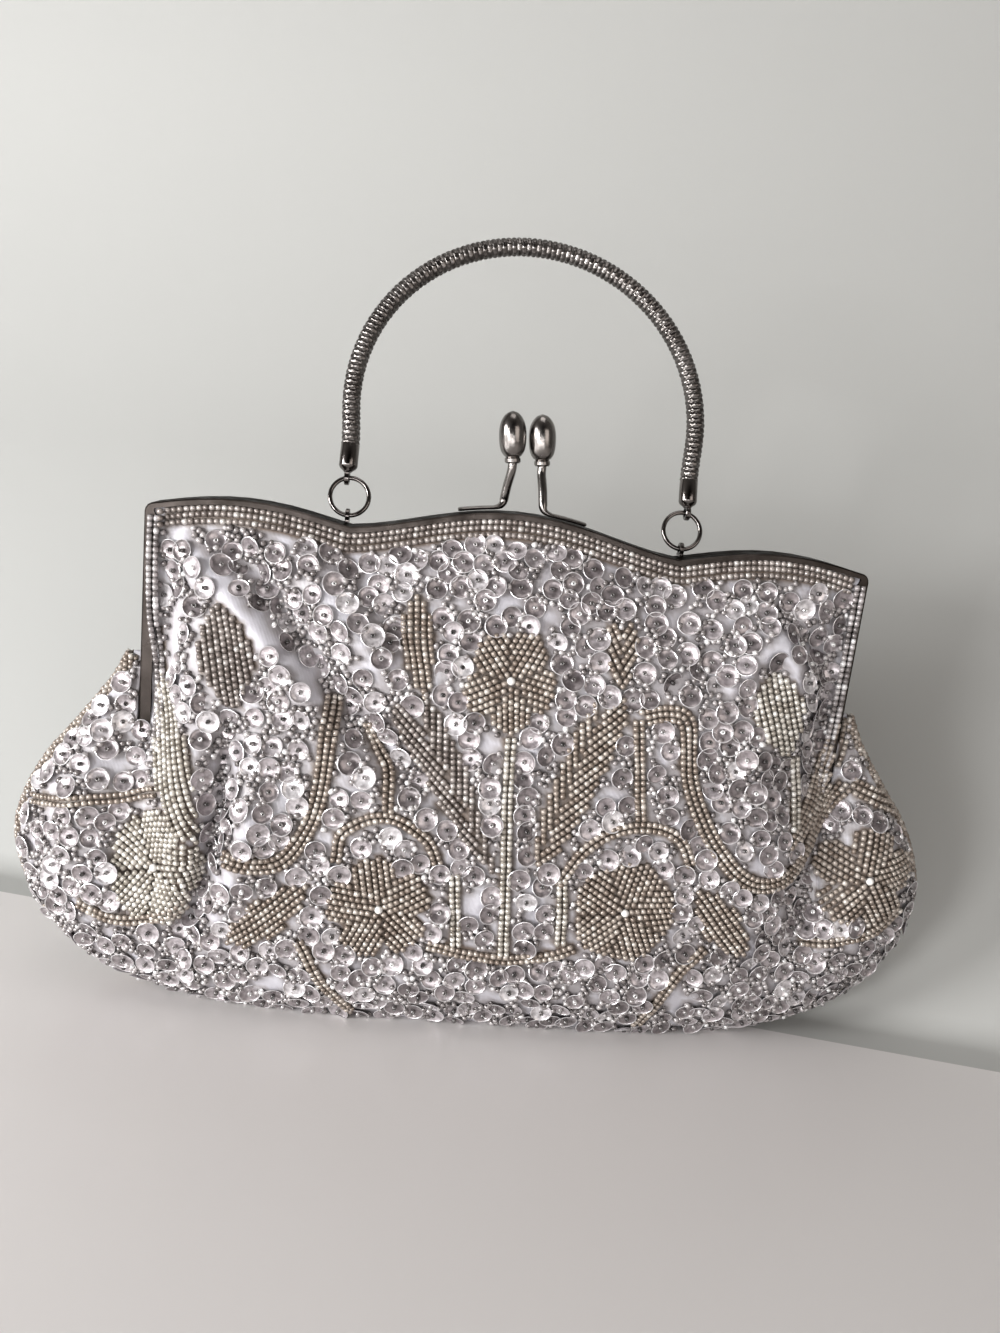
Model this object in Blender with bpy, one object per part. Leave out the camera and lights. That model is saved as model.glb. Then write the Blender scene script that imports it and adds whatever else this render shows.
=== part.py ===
"""Beaded kiss-lock clutch: a metal purse frame, a soft pouch and a snake-chain handle.

Metres. X runs across the bag, -Y is its front, Z is up, and the bag stands on Z = 0.
The two frame halves turn about the line through the hinge rivets, which lies along X.
"""
import math

import bmesh
import bpy
import numpy as np
from mathutils import Vector

# Whole bag
HINGE_HEIGHT = 0.0820
FRAME_HALF_WIDTH = 0.1000
FRAME_CREST_RISE = 0.0673
LOBE_REACH = 0.0335
LOBE_TOP_HEIGHT = 0.1010
BELLY_HALF_DEPTH = 0.0240
OPENING_ANGLE = math.radians(30.0)
CLEARANCE = 0.0003

# Frame halves: bent channels that hold the cloth
SHEET = 0.0008
PARTING_GAP = 0.0003
CHANNEL_DEPTH = 0.0053
LIP_ON_TOP = 0.0016
LIP_ON_SIDES = 0.0032
FLANGE = 0.0060
CHANNEL_EDGE_CHAMFER = 0.0004
CORNER_RADIUS = 0.0026
CORNER_INNER_RADIUS = 0.0004
VALLEY_X = 0.0465
VALLEY_DROP = 0.0081
SHOULDER_X = 0.0750
SHOULDER_RISE = 0.0043
CREST_POWER_SHARE = 1.5

# Hinge ears and rivets
EAR_RADIUS = 0.0029
EAR_SHEET = 0.0007
EAR_INSET = 0.00005
EAR_OVERLAP = 0.0025
CHANNEL_START = 0.0035
LIP_TAIL = 0.0027
JOGGLE_LOW = 0.0042
JOGGLE_HIGH = 0.0075
RIVET_RADIUS = 0.0009
RIVET_HEAD_RADIUS = 0.0018
RIVET_HEAD = 0.0006

# Cloth, lining and the paper cord that wedges them in the channel
CLOTH = 0.0010
LINING = 0.0005
CORD_DIAMETER = 0.0010
POUCH_WALL = 0.0014
SEAM_Y = 0.0010
LINING_WALL = 0.0007
LINING_CLEARANCE = 0.0015
LINING_SLACK = 0.0025
HEM_CLEARANCE = 0.0005
HEM_OVERLAP = 0.0015
RIM_CLEARANCE = 0.0008
CLOTH_EDGE_IN_SIDE = 0.0013
CLOTH_EDGE_BELOW = 0.0034
CLOTH_STEP_LOW = 0.0080
CLOTH_STEP_HIGH = 0.0110
HELD_MARGIN = 0.0004
CLOTH_CORNER = 0.0012
SIDE_PULL_WIDTH = 0.0120
LINING_RIM_DROP = 0.0140
PIPING_RADIUS = 0.0011

# Side creases that run down from the hinge ends
CREASE_WIDTH = 0.0110
CREASE_LEAN = 0.0120
CREASE_SHARE = 0.42

# Main folds of the front cloth: they fade out at the frame, the seams, the base and the
# band at hinge level in which the hems turn
FOLD_HEIGHT = 0.0040
FOLD_HALF_WIDTH = 0.0070
FOLD_FADE = 0.0160
FOLD_FREE_BAND = 0.0070

# Clasp
KNOB_RADIUS = 0.00375
KNOB_LENGTH = 0.0139
KNOB_BASE_RISE = 0.0132
KNOB_X = 0.0034
KNOB_LEAN = math.radians(6.0)
KNOB_CROSS = 0.0006
KNOB_SOCKET_DEPTH = 0.0040
COLLAR_RADIUS = 0.0022
STEM_RADIUS = 0.00125
STEM_BEND = 0.0022
FOOT_LENGTH = 0.0125
FOOT_HALF_WIDTH = 0.0017
FOOT_HALF_HEIGHT = 0.0006

# Handle, its rings and the eyes that hold them
RING_X = 0.0472
RING_RADIUS = 0.00535
RING_WIRE_RADIUS = 0.00065
EYE_HOLE_RADIUS = 0.0011
EYE_RADIUS = 0.0019
EYE_SHEET = 0.0012
HANDLE_LEAN = math.radians(20.0)
LEG_X = 0.0484
LEG_SPREAD = 0.0010
LEG_TOP_RISE = 0.0245
ARCH_HEIGHT = 0.0500
CHAIN_RADIUS = 0.0026
CHAIN_GROOVE = 0.00035
CHAIN_RIB_PITCH = 0.0036
CHAIN_STUB_RADIUS = 0.0017
CAP_EYE_RADIUS = 0.0021
CAP_EYE_HOLE_RADIUS = 0.0013
CAP_EYE_SHEET = 0.0014
SLEEVE_RADIUS = 0.0026
SLEEVE_NECK_RADIUS = 0.0015
SLEEVE_START = 0.0016
SLEEVE_TAPER = 0.0013
SLEEVE_LENGTH = 0.0082
SLEEVE_SOCKET_DEPTH = 0.0045

# How far a cutting shape runs past what it cuts
OVERRUN = 0.0050

# Outline of the pouch seen from the front: height, and how far it stands out beyond the
# frame, as shares of LOBE_TOP_HEIGHT and LOBE_REACH
OUTLINE_SHARES = (
    (0.00, -0.674), (0.02, -0.196), (0.06, 0.163), (0.12, 0.482), (0.20, 0.721),
    (0.30, 0.900), (0.44, 1.000), (0.56, 0.920), (0.67, 0.749), (0.76, 0.542),
    (0.84, 0.362), (0.91, 0.215), (0.97, 0.123), (1.00, 0.091),
)
# Half depth at the middle: height as a share of HINGE_HEIGHT, depth of BELLY_HALF_DEPTH
DEPTH_SHARES = (
    (0.00, 0.56), (0.08, 0.75), (0.20, 0.90), (0.40, 0.985), (0.55, 1.00),
    (0.80, 0.97), (1.00, 0.93), (1.24, 0.86),
)
# Front folds: height as a share of FOLD_HEIGHT (a valley is negative), half width as a share
# of FOLD_HALF_WIDTH, and the line as shares of FRAME_HALF_WIDTH and HINGE_HEIGHT
FOLD_SHARES = (
    (-1.0, 0.9, ((-0.73, 1.00), (-0.75, 0.76), (-0.76, 0.56), (-0.81, 0.37), (-0.88, 0.22))),
    (0.4, 1.2, ((-0.60, 0.98), (-0.63, 0.67), (-0.69, 0.40))),
    (-0.5, 1.0, ((1.02, 0.95), (0.95, 0.74), (0.92, 0.54), (0.94, 0.34))),
    (0.4, 1.2, ((0.70, 0.98), (0.72, 0.72), (0.76, 0.50))),
    (-0.5, 0.9, ((-0.92, 1.70), (-0.76, 1.60), (-0.62, 1.47), (-0.54, 1.32), (-0.51, 1.12))),
    (0.5, 0.9, ((-0.95, 1.56), (-0.80, 1.46), (-0.70, 1.34), (-0.64, 1.14))),
    (0.5, 0.9, ((-0.66, 1.64), (-0.50, 1.51), (-0.38, 1.37), (-0.30, 1.20))),
    (0.5, 0.9, ((0.54, 1.24), (0.66, 1.42), (0.75, 1.49), (0.84, 1.38), (0.90, 1.22))),
    (-0.5, 0.9, ((0.72, 1.66), (0.86, 1.56), (0.97, 1.40))),
)
LEVEL_SHARES = (
    0.0, 0.02, 0.06, 0.12, 0.21, 0.32, 0.44, 0.56, 0.66, 0.74, 0.81, 0.87, 0.93, 1.0,
)
SIDE_POWER_SHARE = 3.0
PUFF_POWER_SHARE = 0.85
ROW_POWER_SHARE = 1.3
FOLD_END_POWER_SHARE = 0.6
# Columns of the front half of the pouch, closer together where it is creased
FRONT_COLUMN_SHARES = (
    0.20, 0.38, 0.48, 0.56, 0.62, 0.67, 0.73, 0.80, 0.87, 0.93, 0.98,
)
TOP_CLEARANCE_SHARE = 1.5
# Rivet head, collar and sleeve edges, and the far end of a socket, as shares of a radius
ROUNDED_EDGE_SHARE = 0.7
COLLAR_EDGE_SHARE = 0.85
SOCKET_END_SHARE = 0.2
SLEEVE_EDGE_SHARE = 0.2
HALF_SHARE = 0.5
# Knob's profile: distance along it and radius, as shares of its length and radius
COLLAR_SHARES = ((0.03, 1.0), (0.09, 1.0), (0.12, 0.86))
KNOB_SHARES = (
    (0.15, 0.66), (0.23, 0.83), (0.35, 0.95), (0.50, 1.0), (0.64, 0.98), (0.77, 0.87),
    (0.88, 0.68), (0.96, 0.41), (1.0, 0.10),
)
FOOT_SHARES = (1.0, 0.97, 0.7, 0.4, 0.12)
BEND_SHARES = (0.25, 0.5, 0.75, 1.0)
# Stem between its bend and the knob: sideways and upward shares of the way
STEM_SHARES = ((0.37, 0.38), (0.91, 0.77), (1.0, 0.93))

# Counts
BACK_STEPS = 22
LINING_LEVEL_STRIDE = 2
TOP_STEPS = 34
CORNER_STEPS = 4
SIDE_STEPS = 3
FRONT_GRID = (7, 7), 8
BACK_GRID = (4, 5), 7
LINING_GRID = (4, 5), 5
HEM_ROWS = 2
RIM_STEPS = 18
ROUND_STEPS = 12
CORD_SIDES = 4
CHAIN_SIDES = 8
RING_STEPS = 22
RING_SIDES = 6
DENSE_STEPS = 24
PIPING_SIDES = 5
PIPING_STRIDE = 9

FRONT = -1
BACK = 1
LEFT = -1
RIGHT = 1


def derived_channel():
    """Distances from the parting plane to each layer held in a channel."""
    near = 0.5 * PARTING_GAP
    layers = {"near": near, "flange": near + SHEET}
    layers["lining_in"] = layers["flange"] + CLEARANCE
    layers["lining_out"] = layers["lining_in"] + LINING
    layers["cord"] = layers["lining_out"] + CLEARANCE + 0.5 * CORD_DIAMETER
    layers["cloth_in"] = layers["cord"] + 0.5 * CORD_DIAMETER + CLEARANCE
    layers["cloth_out"] = layers["cloth_in"] + CLOTH
    layers["far"] = near + CHANNEL_DEPTH
    layers["lip_in"] = layers["far"] - SHEET
    return layers


LAYERS = derived_channel()
CHANNEL_MIDDLE = 0.5 * (LAYERS["near"] + LAYERS["far"])


def curve_through(points, steps):
    """Smooth Catmull-Rom curve through a table of points."""
    table = np.array(points, dtype=float)
    padded = np.vstack([2 * table[0] - table[1], table, 2 * table[-1] - table[-2]])
    found = [table[0]]
    for index in range(1, len(padded) - 2):
        before, start, end, after = padded[index - 1:index + 3]
        for step in range(1, steps + 1):
            t = step / steps
            found.append(0.5 * (
                2 * start + (end - before) * t
                + (2 * before - 5 * start + 4 * end - after) * t ** 2
                + (3 * start - before - 3 * end + after) * t ** 3
            ))
    return np.array(found)


OUTLINE_CURVE = curve_through(OUTLINE_SHARES, DENSE_STEPS)
DEPTH_CURVE = curve_through(DEPTH_SHARES, DENSE_STEPS)


def smooth_step(value):
    """0 below 0, 1 above 1, with level ends."""
    held = min(max(value, 0.0), 1.0)
    return held * held * (3.0 - 2.0 * held)


def half_width(z):
    """Half width of the pouch's outline at height z."""
    share = np.interp(z / LOBE_TOP_HEIGHT, OUTLINE_CURVE[:, 0], OUTLINE_CURVE[:, 1])
    return FRAME_HALF_WIDTH + LOBE_REACH * float(share)


def middle_depth(z):
    """Half depth of the pouch at its middle at height z."""
    share = np.interp(z / HINGE_HEIGHT, DEPTH_CURVE[:, 0], DEPTH_CURVE[:, 1])
    return BELLY_HALF_DEPTH * float(share)


def crease(x, z):
    """Share of the depth that is left where the cloth is drawn in below a hinge."""
    height = smooth_step(z / HINGE_HEIGHT)
    centre = FRAME_HALF_WIDTH - CREASE_LEAN * (1.0 - height)
    away = (abs(x) - centre) / CREASE_WIDTH
    return 1.0 - CREASE_SHARE * height * math.exp(-away * away)


def fold_line(x, z, line):
    """How far a point lies from a fold's line, and the share of the line passed there."""
    points = [(a * FRAME_HALF_WIDTH, b * HINGE_HEIGHT) for a, b in line]
    lengths = [math.dist(a, b) for a, b in zip(points, points[1:])]
    nearest, share = math.inf, 0.0
    passed = 0.0
    for start, end, length in zip(points, points[1:], lengths):
        across, up = (end[0] - start[0]) / length, (end[1] - start[1]) / length
        along = min(max((x - start[0]) * across + (z - start[1]) * up, 0.0), length)
        gap = math.hypot(x - start[0] - across * along, z - start[1] - up * along)
        if gap < nearest:
            nearest, share = gap, (passed + along) / sum(lengths)
        passed += length
    return nearest, share


def front_fold(x, z):
    """Extra depth that the main folds give the front cloth."""
    total = 0.0
    for rise, wide, line in FOLD_SHARES:
        gap, share = fold_line(x, z, line)
        taper = math.sin(math.pi * share) ** FOLD_END_POWER_SHARE
        away = gap / (wide * FOLD_HALF_WIDTH)
        total += rise * FOLD_HEIGHT * taper * math.exp(-away * away)
    band = smooth_step((abs(z - HINGE_HEIGHT) - FOLD_FREE_BAND) / FOLD_FADE)
    return total * band * smooth_step(z / FOLD_FADE)


def pouch_depth(x, z, inset, side=BACK):
    """Half depth of the pouch at x and z, measured inside its skin by inset."""
    reach = min(abs(x) / (half_width(z) - inset), 1.0)
    fullness = math.sqrt(1.0 - reach ** SIDE_POWER_SHARE)
    fold = front_fold(x, z) if side == FRONT else 0.0
    return (middle_depth(z) * crease(x, z) - inset + fold) * fullness


def hem_radius(x):
    """Radius, about the hinge line, of the upper cloth at hinge level."""
    inside = abs(x) - FRAME_HALF_WIDTH + CLOTH_EDGE_BELOW + SIDE_PULL_WIDTH
    pull = smooth_step(inside / SIDE_PULL_WIDTH)
    full = pouch_depth(x, HINGE_HEIGHT, POUCH_WALL) - HEM_CLEARANCE
    edge = LAYERS["cloth_out"]
    return edge + (full - edge) * (1.0 - pull)


def rim_drop(x):
    """How far the pouch's rim lies below the hinge line, so the opened cloth clears it."""
    lift = hem_radius(x) * (1.0 / math.cos(OPENING_ANGLE) - 1.0) / math.tan(OPENING_ANGLE)
    return lift + RIM_CLEARANCE


def hem_angle(x):
    """Angle below level at which the upper cloth's hem ends when the bag is shut."""
    return math.asin((rim_drop(x) + HEM_OVERLAP) / hem_radius(x))


def top_edge(x):
    """Height of the frame's scalloped top edge at x."""
    away = abs(x)
    valley = HINGE_HEIGHT + FRAME_CREST_RISE - VALLEY_DROP
    if away < VALLEY_X:
        turn = 0.5 * math.pi * away / VALLEY_X
        return valley + VALLEY_DROP * math.cos(turn) ** CREST_POWER_SHARE
    turn = 0.5 * math.pi * (away - VALLEY_X) / (SHOULDER_X - VALLEY_X)
    return valley + SHOULDER_RISE * math.sin(turn)


def frame_outline(inset, start):
    """Points of the frame's outline, set in by inset, from right hinge to left hinge."""
    radius = max(CORNER_RADIUS - inset, CORNER_INNER_RADIUS)
    side = FRAME_HALF_WIDTH - inset
    corner_x = side - radius
    corner_z = top_edge(corner_x) - inset - radius
    half = [(side, float(z)) for z in np.linspace(start, corner_z, SIDE_STEPS)]
    for step in range(1, CORNER_STEPS + 1):
        turn = 0.5 * math.pi * step / CORNER_STEPS
        half.append((corner_x + radius * math.cos(turn), corner_z + radius * math.sin(turn)))
    for step in range(1, TOP_STEPS // 2 + 1):
        x = corner_x * (1.0 - 2.0 * step / TOP_STEPS)
        half.append((x, top_edge(x) - inset))
    return half + [(-x, z) for x, z in reversed(half[:-1])]


# Mesh helpers

def material(name, colour, roughness, metallic):
    """Principled material."""
    made = bpy.data.materials.new(name)
    made.use_nodes = True
    shader = made.node_tree.nodes["Principled BSDF"]
    shader.inputs["Base Color"].default_value = (*colour, 1.0)
    shader.inputs["Roughness"].default_value = roughness
    shader.inputs["Metallic"].default_value = metallic
    return made


def pivot(name, place, parent=None):
    """Empty that a moving body's pieces hang from, on its joint's axis."""
    empty = bpy.data.objects.new(name, None)
    bpy.context.collection.objects.link(empty)
    empty.empty_display_size = RING_RADIUS
    origin = Vector(place)
    empty["origin"] = list(origin)
    if parent is None:
        empty.location = origin
    else:
        empty.parent = parent
        empty.location = origin - Vector(parent["origin"])
    return empty


def solid(name, points, faces, finish, parent, smooth=True):
    """Object from points in the bag's frame, with its origin on its parent's."""
    origin = Vector(parent["origin"])
    mesh = bpy.data.meshes.new(name)
    mesh.from_pydata([Vector(p) - origin for p in points], [], faces)
    work = bmesh.new()
    work.from_mesh(mesh)
    bmesh.ops.recalc_face_normals(work, faces=work.faces)
    work.to_mesh(mesh)
    work.free()
    if smooth:
        mesh.shade_smooth()
        mesh.set_sharp_from_angle(angle=math.radians(35.0))
    mesh.materials.append(finish)
    made = bpy.data.objects.new(name, mesh)
    bpy.context.collection.objects.link(made)
    made.parent = parent
    return made


def loft(sections, closed=False):
    """Points and faces of a tube through rings of equal length, capped unless closed."""
    count = len(sections[0])
    points = [p for ring in sections for p in ring]
    faces = []
    last = len(sections) if closed else len(sections) - 1
    for row in range(last):
        here = row * count
        there = (row + 1) % len(sections) * count
        for column in range(count):
            beside = (column + 1) % count
            faces.append((here + column, here + beside, there + beside, there + column))
    if not closed:
        faces.append(tuple(range(count)))
        faces.append(tuple(range(len(points) - count, len(points))))
    return points, faces


def turned(profile, centre, direction, steps):
    """Points and faces of a profile of (along, radius) turned about a direction."""
    along_axis = Vector(direction).normalized()
    across = along_axis.orthogonal().normalized()
    beside = along_axis.cross(across)
    rings = []
    for along, radius in profile:
        ring = []
        for step in range(steps):
            turn = 2.0 * math.pi * step / steps
            offset = across * math.cos(turn) + beside * math.sin(turn)
            ring.append(Vector(centre) + along_axis * along + offset * radius)
        rings.append(ring)
    return loft(rings)


def plate(outline, low, high):
    """Points and faces of a Y-Z outline drawn along X from low to high."""
    return loft([[(x, y, z) for y, z in outline] for x in (low, high)])


def boolean(target, tool, operation):
    """Exact Boolean modifier; a cutting tool is hidden."""
    step = target.modifiers.new(operation.lower(), "BOOLEAN")
    step.operation = operation
    step.solver = "EXACT"
    step.object = tool
    tool.hide_render = True
    tool.display_type = "WIRE"
    tool.hide_set(True)


def arc_points(radius, start, end, steps):
    """Points on an arc about the origin."""
    turns = np.linspace(start, end, steps)
    return [(radius * math.cos(turn), radius * math.sin(turn)) for turn in turns]


# Frame halves

def frame_channel(name, side, finish, parent):
    """Channel of one frame half, open towards the cloth, with a hinge ear at each end."""
    start = HINGE_HEIGHT + CHANNEL_START
    outer = frame_outline(0.0, start)
    web = frame_outline(SHEET, start)
    chamfer = frame_outline(CHANNEL_EDGE_CHAMFER, start)
    flange = frame_outline(FLANGE, start)
    lip_top = frame_outline(LIP_ON_TOP, start)
    lip_side = frame_outline(LIP_ON_SIDES, start)
    sections = []
    for index in range(len(outer)):
        from_end = min(index, len(outer) - 1 - index)
        on_top = min(max((from_end - SIDE_STEPS + 1) / CORNER_STEPS, 0.0), 1.0)
        lip = tuple(
            (1.0 - on_top) * a + on_top * b for a, b in zip(lip_side[index], lip_top[index])
        )
        ring = (
            (outer[index], LAYERS["far"] - CHANNEL_EDGE_CHAMFER),
            (chamfer[index], LAYERS["far"]),
            (lip, LAYERS["far"]),
            (lip, LAYERS["lip_in"]),
            (web[index], LAYERS["lip_in"]),
            (web[index], LAYERS["flange"]),
            (flange[index], LAYERS["flange"]),
            (flange[index], LAYERS["near"]),
            (outer[index], LAYERS["near"]),
        )
        sections.append([(x, side * y, z) for (x, z), y in ring])
    points, faces = loft(sections)
    channel = solid(name, points, faces, finish, parent)
    for end, word in ((LEFT, "left"), (RIGHT, "right")):
        ear = hinge_ear(f"{name}_ear_{word}", side, end, finish, parent)
        boolean(channel, ear, "UNION")
        tail = lip_tail(f"{name}_tail_{word}", side, end, finish, parent)
        boolean(channel, tail, "UNION")
    bore = turned(
        ((-FRAME_HALF_WIDTH - OVERRUN, RIVET_RADIUS + CLEARANCE),
         (FRAME_HALF_WIDTH + OVERRUN, RIVET_RADIUS + CLEARANCE)),
        (0.0, 0.0, HINGE_HEIGHT), (1.0, 0.0, 0.0), ROUND_STEPS,
    )
    boolean(channel, solid(f"{name}_rivet_bore", *bore, finish, parent), "DIFFERENCE")
    return channel


def ear_outline(side, top, far):
    """Y-Z outline of a hinge ear: a disc round the rivet and a neck up one half."""
    near = LAYERS["near"] + EAR_INSET
    shoulder = CHANNEL_START
    distance = math.hypot(far, shoulder)
    first = math.acos(near / EAR_RADIUS)
    last = 2.0 * math.pi + math.atan2(shoulder, far) - math.acos(EAR_RADIUS / distance)
    local = [(near, top)] + arc_points(EAR_RADIUS, first, last, ROUND_STEPS)
    local += [(far, shoulder), (far, top)]
    return [(side * p, HINGE_HEIGHT + q) for p, q in local]


def lip_tail(name, side, end, finish, parent):
    """Lower end of a side lip with the edge of the web, past the hinge line."""
    outside = FRAME_HALF_WIDTH - EAR_INSET
    inside = FRAME_HALF_WIDTH - LIP_ON_SIDES + EAR_INSET
    far = LAYERS["far"] - EAR_INSET
    behind = far - EAR_SHEET
    near = EAR_RADIUS + CLEARANCE
    outline = (
        (inside, behind), (inside, far), (outside - CHANNEL_EDGE_CHAMFER, far),
        (outside, far - CHANNEL_EDGE_CHAMFER), (outside, near), (outside - EAR_SHEET, near),
        (outside - EAR_SHEET, behind),
    )
    heights = (HINGE_HEIGHT - LIP_TAIL, HINGE_HEIGHT + CHANNEL_START + EAR_OVERLAP)
    sections = [[(end * x, side * y, z) for x, y in outline] for z in heights]
    points, faces = loft(sections)
    return solid(name, points, faces, finish, parent)


def hinge_ear(name, side, end, finish, parent):
    """Ear plate: the front half's is outside, the back half's is joggled inside it."""
    outside = FRAME_HALF_WIDTH - EAR_INSET
    if side == FRONT:
        far = LAYERS["far"] - CHANNEL_EDGE_CHAMFER - EAR_INSET
        outline = ear_outline(side, CHANNEL_START + EAR_OVERLAP, far)
        points, faces = plate(outline, end * (outside - EAR_SHEET), end * outside)
        return solid(name, points, faces, finish, parent)
    inner = outside - EAR_SHEET - CLEARANCE
    far = LAYERS["lip_in"]
    outline = ear_outline(side, JOGGLE_HIGH, far)
    points, faces = plate(outline, end * (inner - EAR_SHEET), end * inner)
    ear = solid(name, points, faces, finish, parent)
    low = HINGE_HEIGHT + JOGGLE_LOW
    high = HINGE_HEIGHT + JOGGLE_HIGH - EAR_INSET
    near = LAYERS["near"] + SHEET
    block = [(side * near, low), (side * (far - EAR_INSET), low),
             (side * (far - EAR_INSET), high), (side * near, high)]
    middle = inner - 0.5 * EAR_SHEET
    points, faces = plate(block, end * middle, end * (outside - EAR_INSET))
    joggle = solid(f"{name}_joggle", points, faces, finish, parent)
    boolean(ear, joggle, "UNION")
    return ear


def hinge_rivet(name, end, finish, parent):
    """Rivet through both ears, with a head on each side."""
    outside = FRAME_HALF_WIDTH - EAR_INSET + CLEARANCE
    inside = FRAME_HALF_WIDTH - EAR_INSET - 2.0 * EAR_SHEET - 2.0 * CLEARANCE
    rounded = ROUNDED_EDGE_SHARE * RIVET_HEAD_RADIUS
    half_head = HALF_SHARE * RIVET_HEAD
    profile = (
        (inside - RIVET_HEAD, rounded), (inside - half_head, RIVET_HEAD_RADIUS),
        (inside, RIVET_HEAD_RADIUS), (inside, RIVET_RADIUS), (outside, RIVET_RADIUS),
        (outside, RIVET_HEAD_RADIUS), (outside + half_head, RIVET_HEAD_RADIUS),
        (outside + RIVET_HEAD, rounded),
    )
    points, faces = turned(profile, (0.0, 0.0, HINGE_HEIGHT), (end, 0.0, 0.0), ROUND_STEPS)
    return solid(name, points, faces, finish, parent)


# Cloth that the frame halves carry

def cloth_half_width(z):
    """Half width of the upper cloth: inside the side channels, then narrower at the ears."""
    rise = smooth_step((z - HINGE_HEIGHT - CLOTH_STEP_LOW) / (CLOTH_STEP_HIGH - CLOTH_STEP_LOW))
    below = FRAME_HALF_WIDTH - CLOTH_EDGE_BELOW
    inside = FRAME_HALF_WIDTH - CLOTH_EDGE_IN_SIDE
    return below + (inside - below) * rise


def cloth_top(x):
    """Height of the upper cloth's edge, inside the channel."""
    corner = max(abs(x) - FRAME_HALF_WIDTH + LIP_ON_SIDES + SHEET, 0.0)
    rounding = CLOTH_CORNER * (corner / LIP_ON_SIDES) ** 2
    return top_edge(x) - SHEET - TOP_CLEARANCE_SHARE * CLEARANCE - rounding


def cloth_held(x):
    """Height down to which the channel's cord holds the cloth flat."""
    return top_edge(x) - SHEET - 2.0 * CLEARANCE - CORD_DIAMETER - HELD_MARGIN


def column_shares(counts):
    """Where the upper cloth's columns stand across it, with one in each valley of the top edge."""
    middle, outer = counts
    valley = VALLEY_X / (FRAME_HALF_WIDTH - CLOTH_EDGE_IN_SIDE)
    half = [valley * step / middle for step in range(middle + 1)]
    for step in range(1, outer + 1):
        half.append(valley + (1.0 - valley) * math.sin(0.5 * math.pi * step / outer))
    return [-share for share in reversed(half[1:])] + half


def cloth_height(x, row, rows):
    """Height of one row of the upper cloth: its edge, the held line, then on down."""
    if row == 0:
        return cloth_top(x)
    share = ((row - 1) / (rows - 1)) ** ROW_POWER_SHARE
    return cloth_held(x) * (1.0 - share) + HINGE_HEIGHT * share


def cloth_depth(x, z):
    """Distance of the upper cloth's outer face from the parting plane."""
    held = cloth_held(x)
    below = min(max((held - z) / (held - HINGE_HEIGHT), 0.0), 1.0)
    puff = math.sin(0.5 * math.pi * below ** PUFF_POWER_SHARE)
    edge = LAYERS["cloth_out"]
    return edge + (hem_radius(x) - edge) * puff


def front_cloth_depth(x, z):
    """Distance of the front's upper cloth, with its folds, from the parting plane."""
    top = smooth_step((cloth_held(x) - z) / FOLD_FADE)
    side = smooth_step((FRAME_HALF_WIDTH - LIP_ON_SIDES - abs(x)) / FOLD_FADE)
    return cloth_depth(x, z) + front_fold(x, z) * top * side


def lining_depth(x, z):
    """Distance of the upper lining's outer face from the parting plane."""
    near_top = 1.0 - smooth_step((cloth_held(x) - z) / (2.0 * FLANGE))
    inside = abs(x) - FRAME_HALF_WIDTH + CLOTH_EDGE_BELOW + FLANGE
    near_side = smooth_step(inside / FLANGE)
    tucked = max(near_top, near_side)
    in_channel = LAYERS["cloth_in"] - CLEARANCE - LAYERS["lining_out"]
    behind = in_channel * tucked + LINING_SLACK * (1.0 - tucked)
    return cloth_depth(x, z) - CLOTH - CLEARANCE - behind


def upper_cloth(name, side, depth_at, wall, grid, finish, parent):
    """Cloth from the frame's channel down to a hem that turns about the hinge line."""
    counts, rows_down = grid
    shares = column_shares(counts)
    outer, inner = [], []
    for row in range(rows_down + HEM_ROWS + 1):
        for across in shares:
            if row <= rows_down:
                guess = cloth_height(across * FRAME_HALF_WIDTH, row, rows_down)
                x = across * cloth_half_width(guess)
                z = cloth_height(x, row, rows_down)
                depth = depth_at(x, z)
                outer.append((x, side * depth, z))
                inner.append((x, side * (depth - wall), z))
            else:
                x = across * cloth_half_width(HINGE_HEIGHT)
                turn = hem_angle(x) * (row - rows_down) / HEM_ROWS
                skin = depth_at(x, HINGE_HEIGHT)
                for radius, points in ((skin, outer), (skin - wall, inner)):
                    y = side * radius * math.cos(turn)
                    points.append((x, y, HINGE_HEIGHT - radius * math.sin(turn)))
    columns = len(shares)
    rows = rows_down + HEM_ROWS + 1
    shift = rows * columns
    faces = []
    for row in range(rows - 1):
        for column in range(columns - 1):
            a = row * columns + column
            quad = (a, a + 1, a + columns + 1, a + columns)
            faces.append(quad)
            faces.append(tuple(shift + i for i in reversed(quad)))
    border = [(0, c) for c in range(columns)] + [(r, columns - 1) for r in range(1, rows)]
    border += [(rows - 1, c) for c in range(columns - 2, -1, -1)]
    border += [(r, 0) for r in range(rows - 2, 0, -1)]
    loop = [r * columns + c for r, c in border]
    for here, there in zip(loop, loop[1:] + loop[:1]):
        faces.append((here, there, shift + there, shift + here))
    return solid(name, outer + inner, faces, finish, parent)


def channel_cord(name, side, finish, parent):
    """Paper cord packed into the channel behind the cloth's edge."""
    start = HINGE_HEIGHT + CLOTH_STEP_HIGH + CLEARANCE
    depth = SHEET + CLEARANCE + 0.5 * CORD_DIAMETER
    ring = arc_points(0.5 * CORD_DIAMETER, 0.0, 2.0 * math.pi, CORD_SIDES + 1)[:-1]
    lines = [frame_outline(depth + a, start) for a, _ in ring]
    sections = []
    for index in range(len(lines[0])):
        sections.append([
            (line[index][0], side * (LAYERS["cord"] + b), line[index][1])
            for line, (_, b) in zip(lines, ring)
        ])
    points, faces = loft(sections)
    return solid(name, points, faces, finish, parent)


# Pouch

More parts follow.
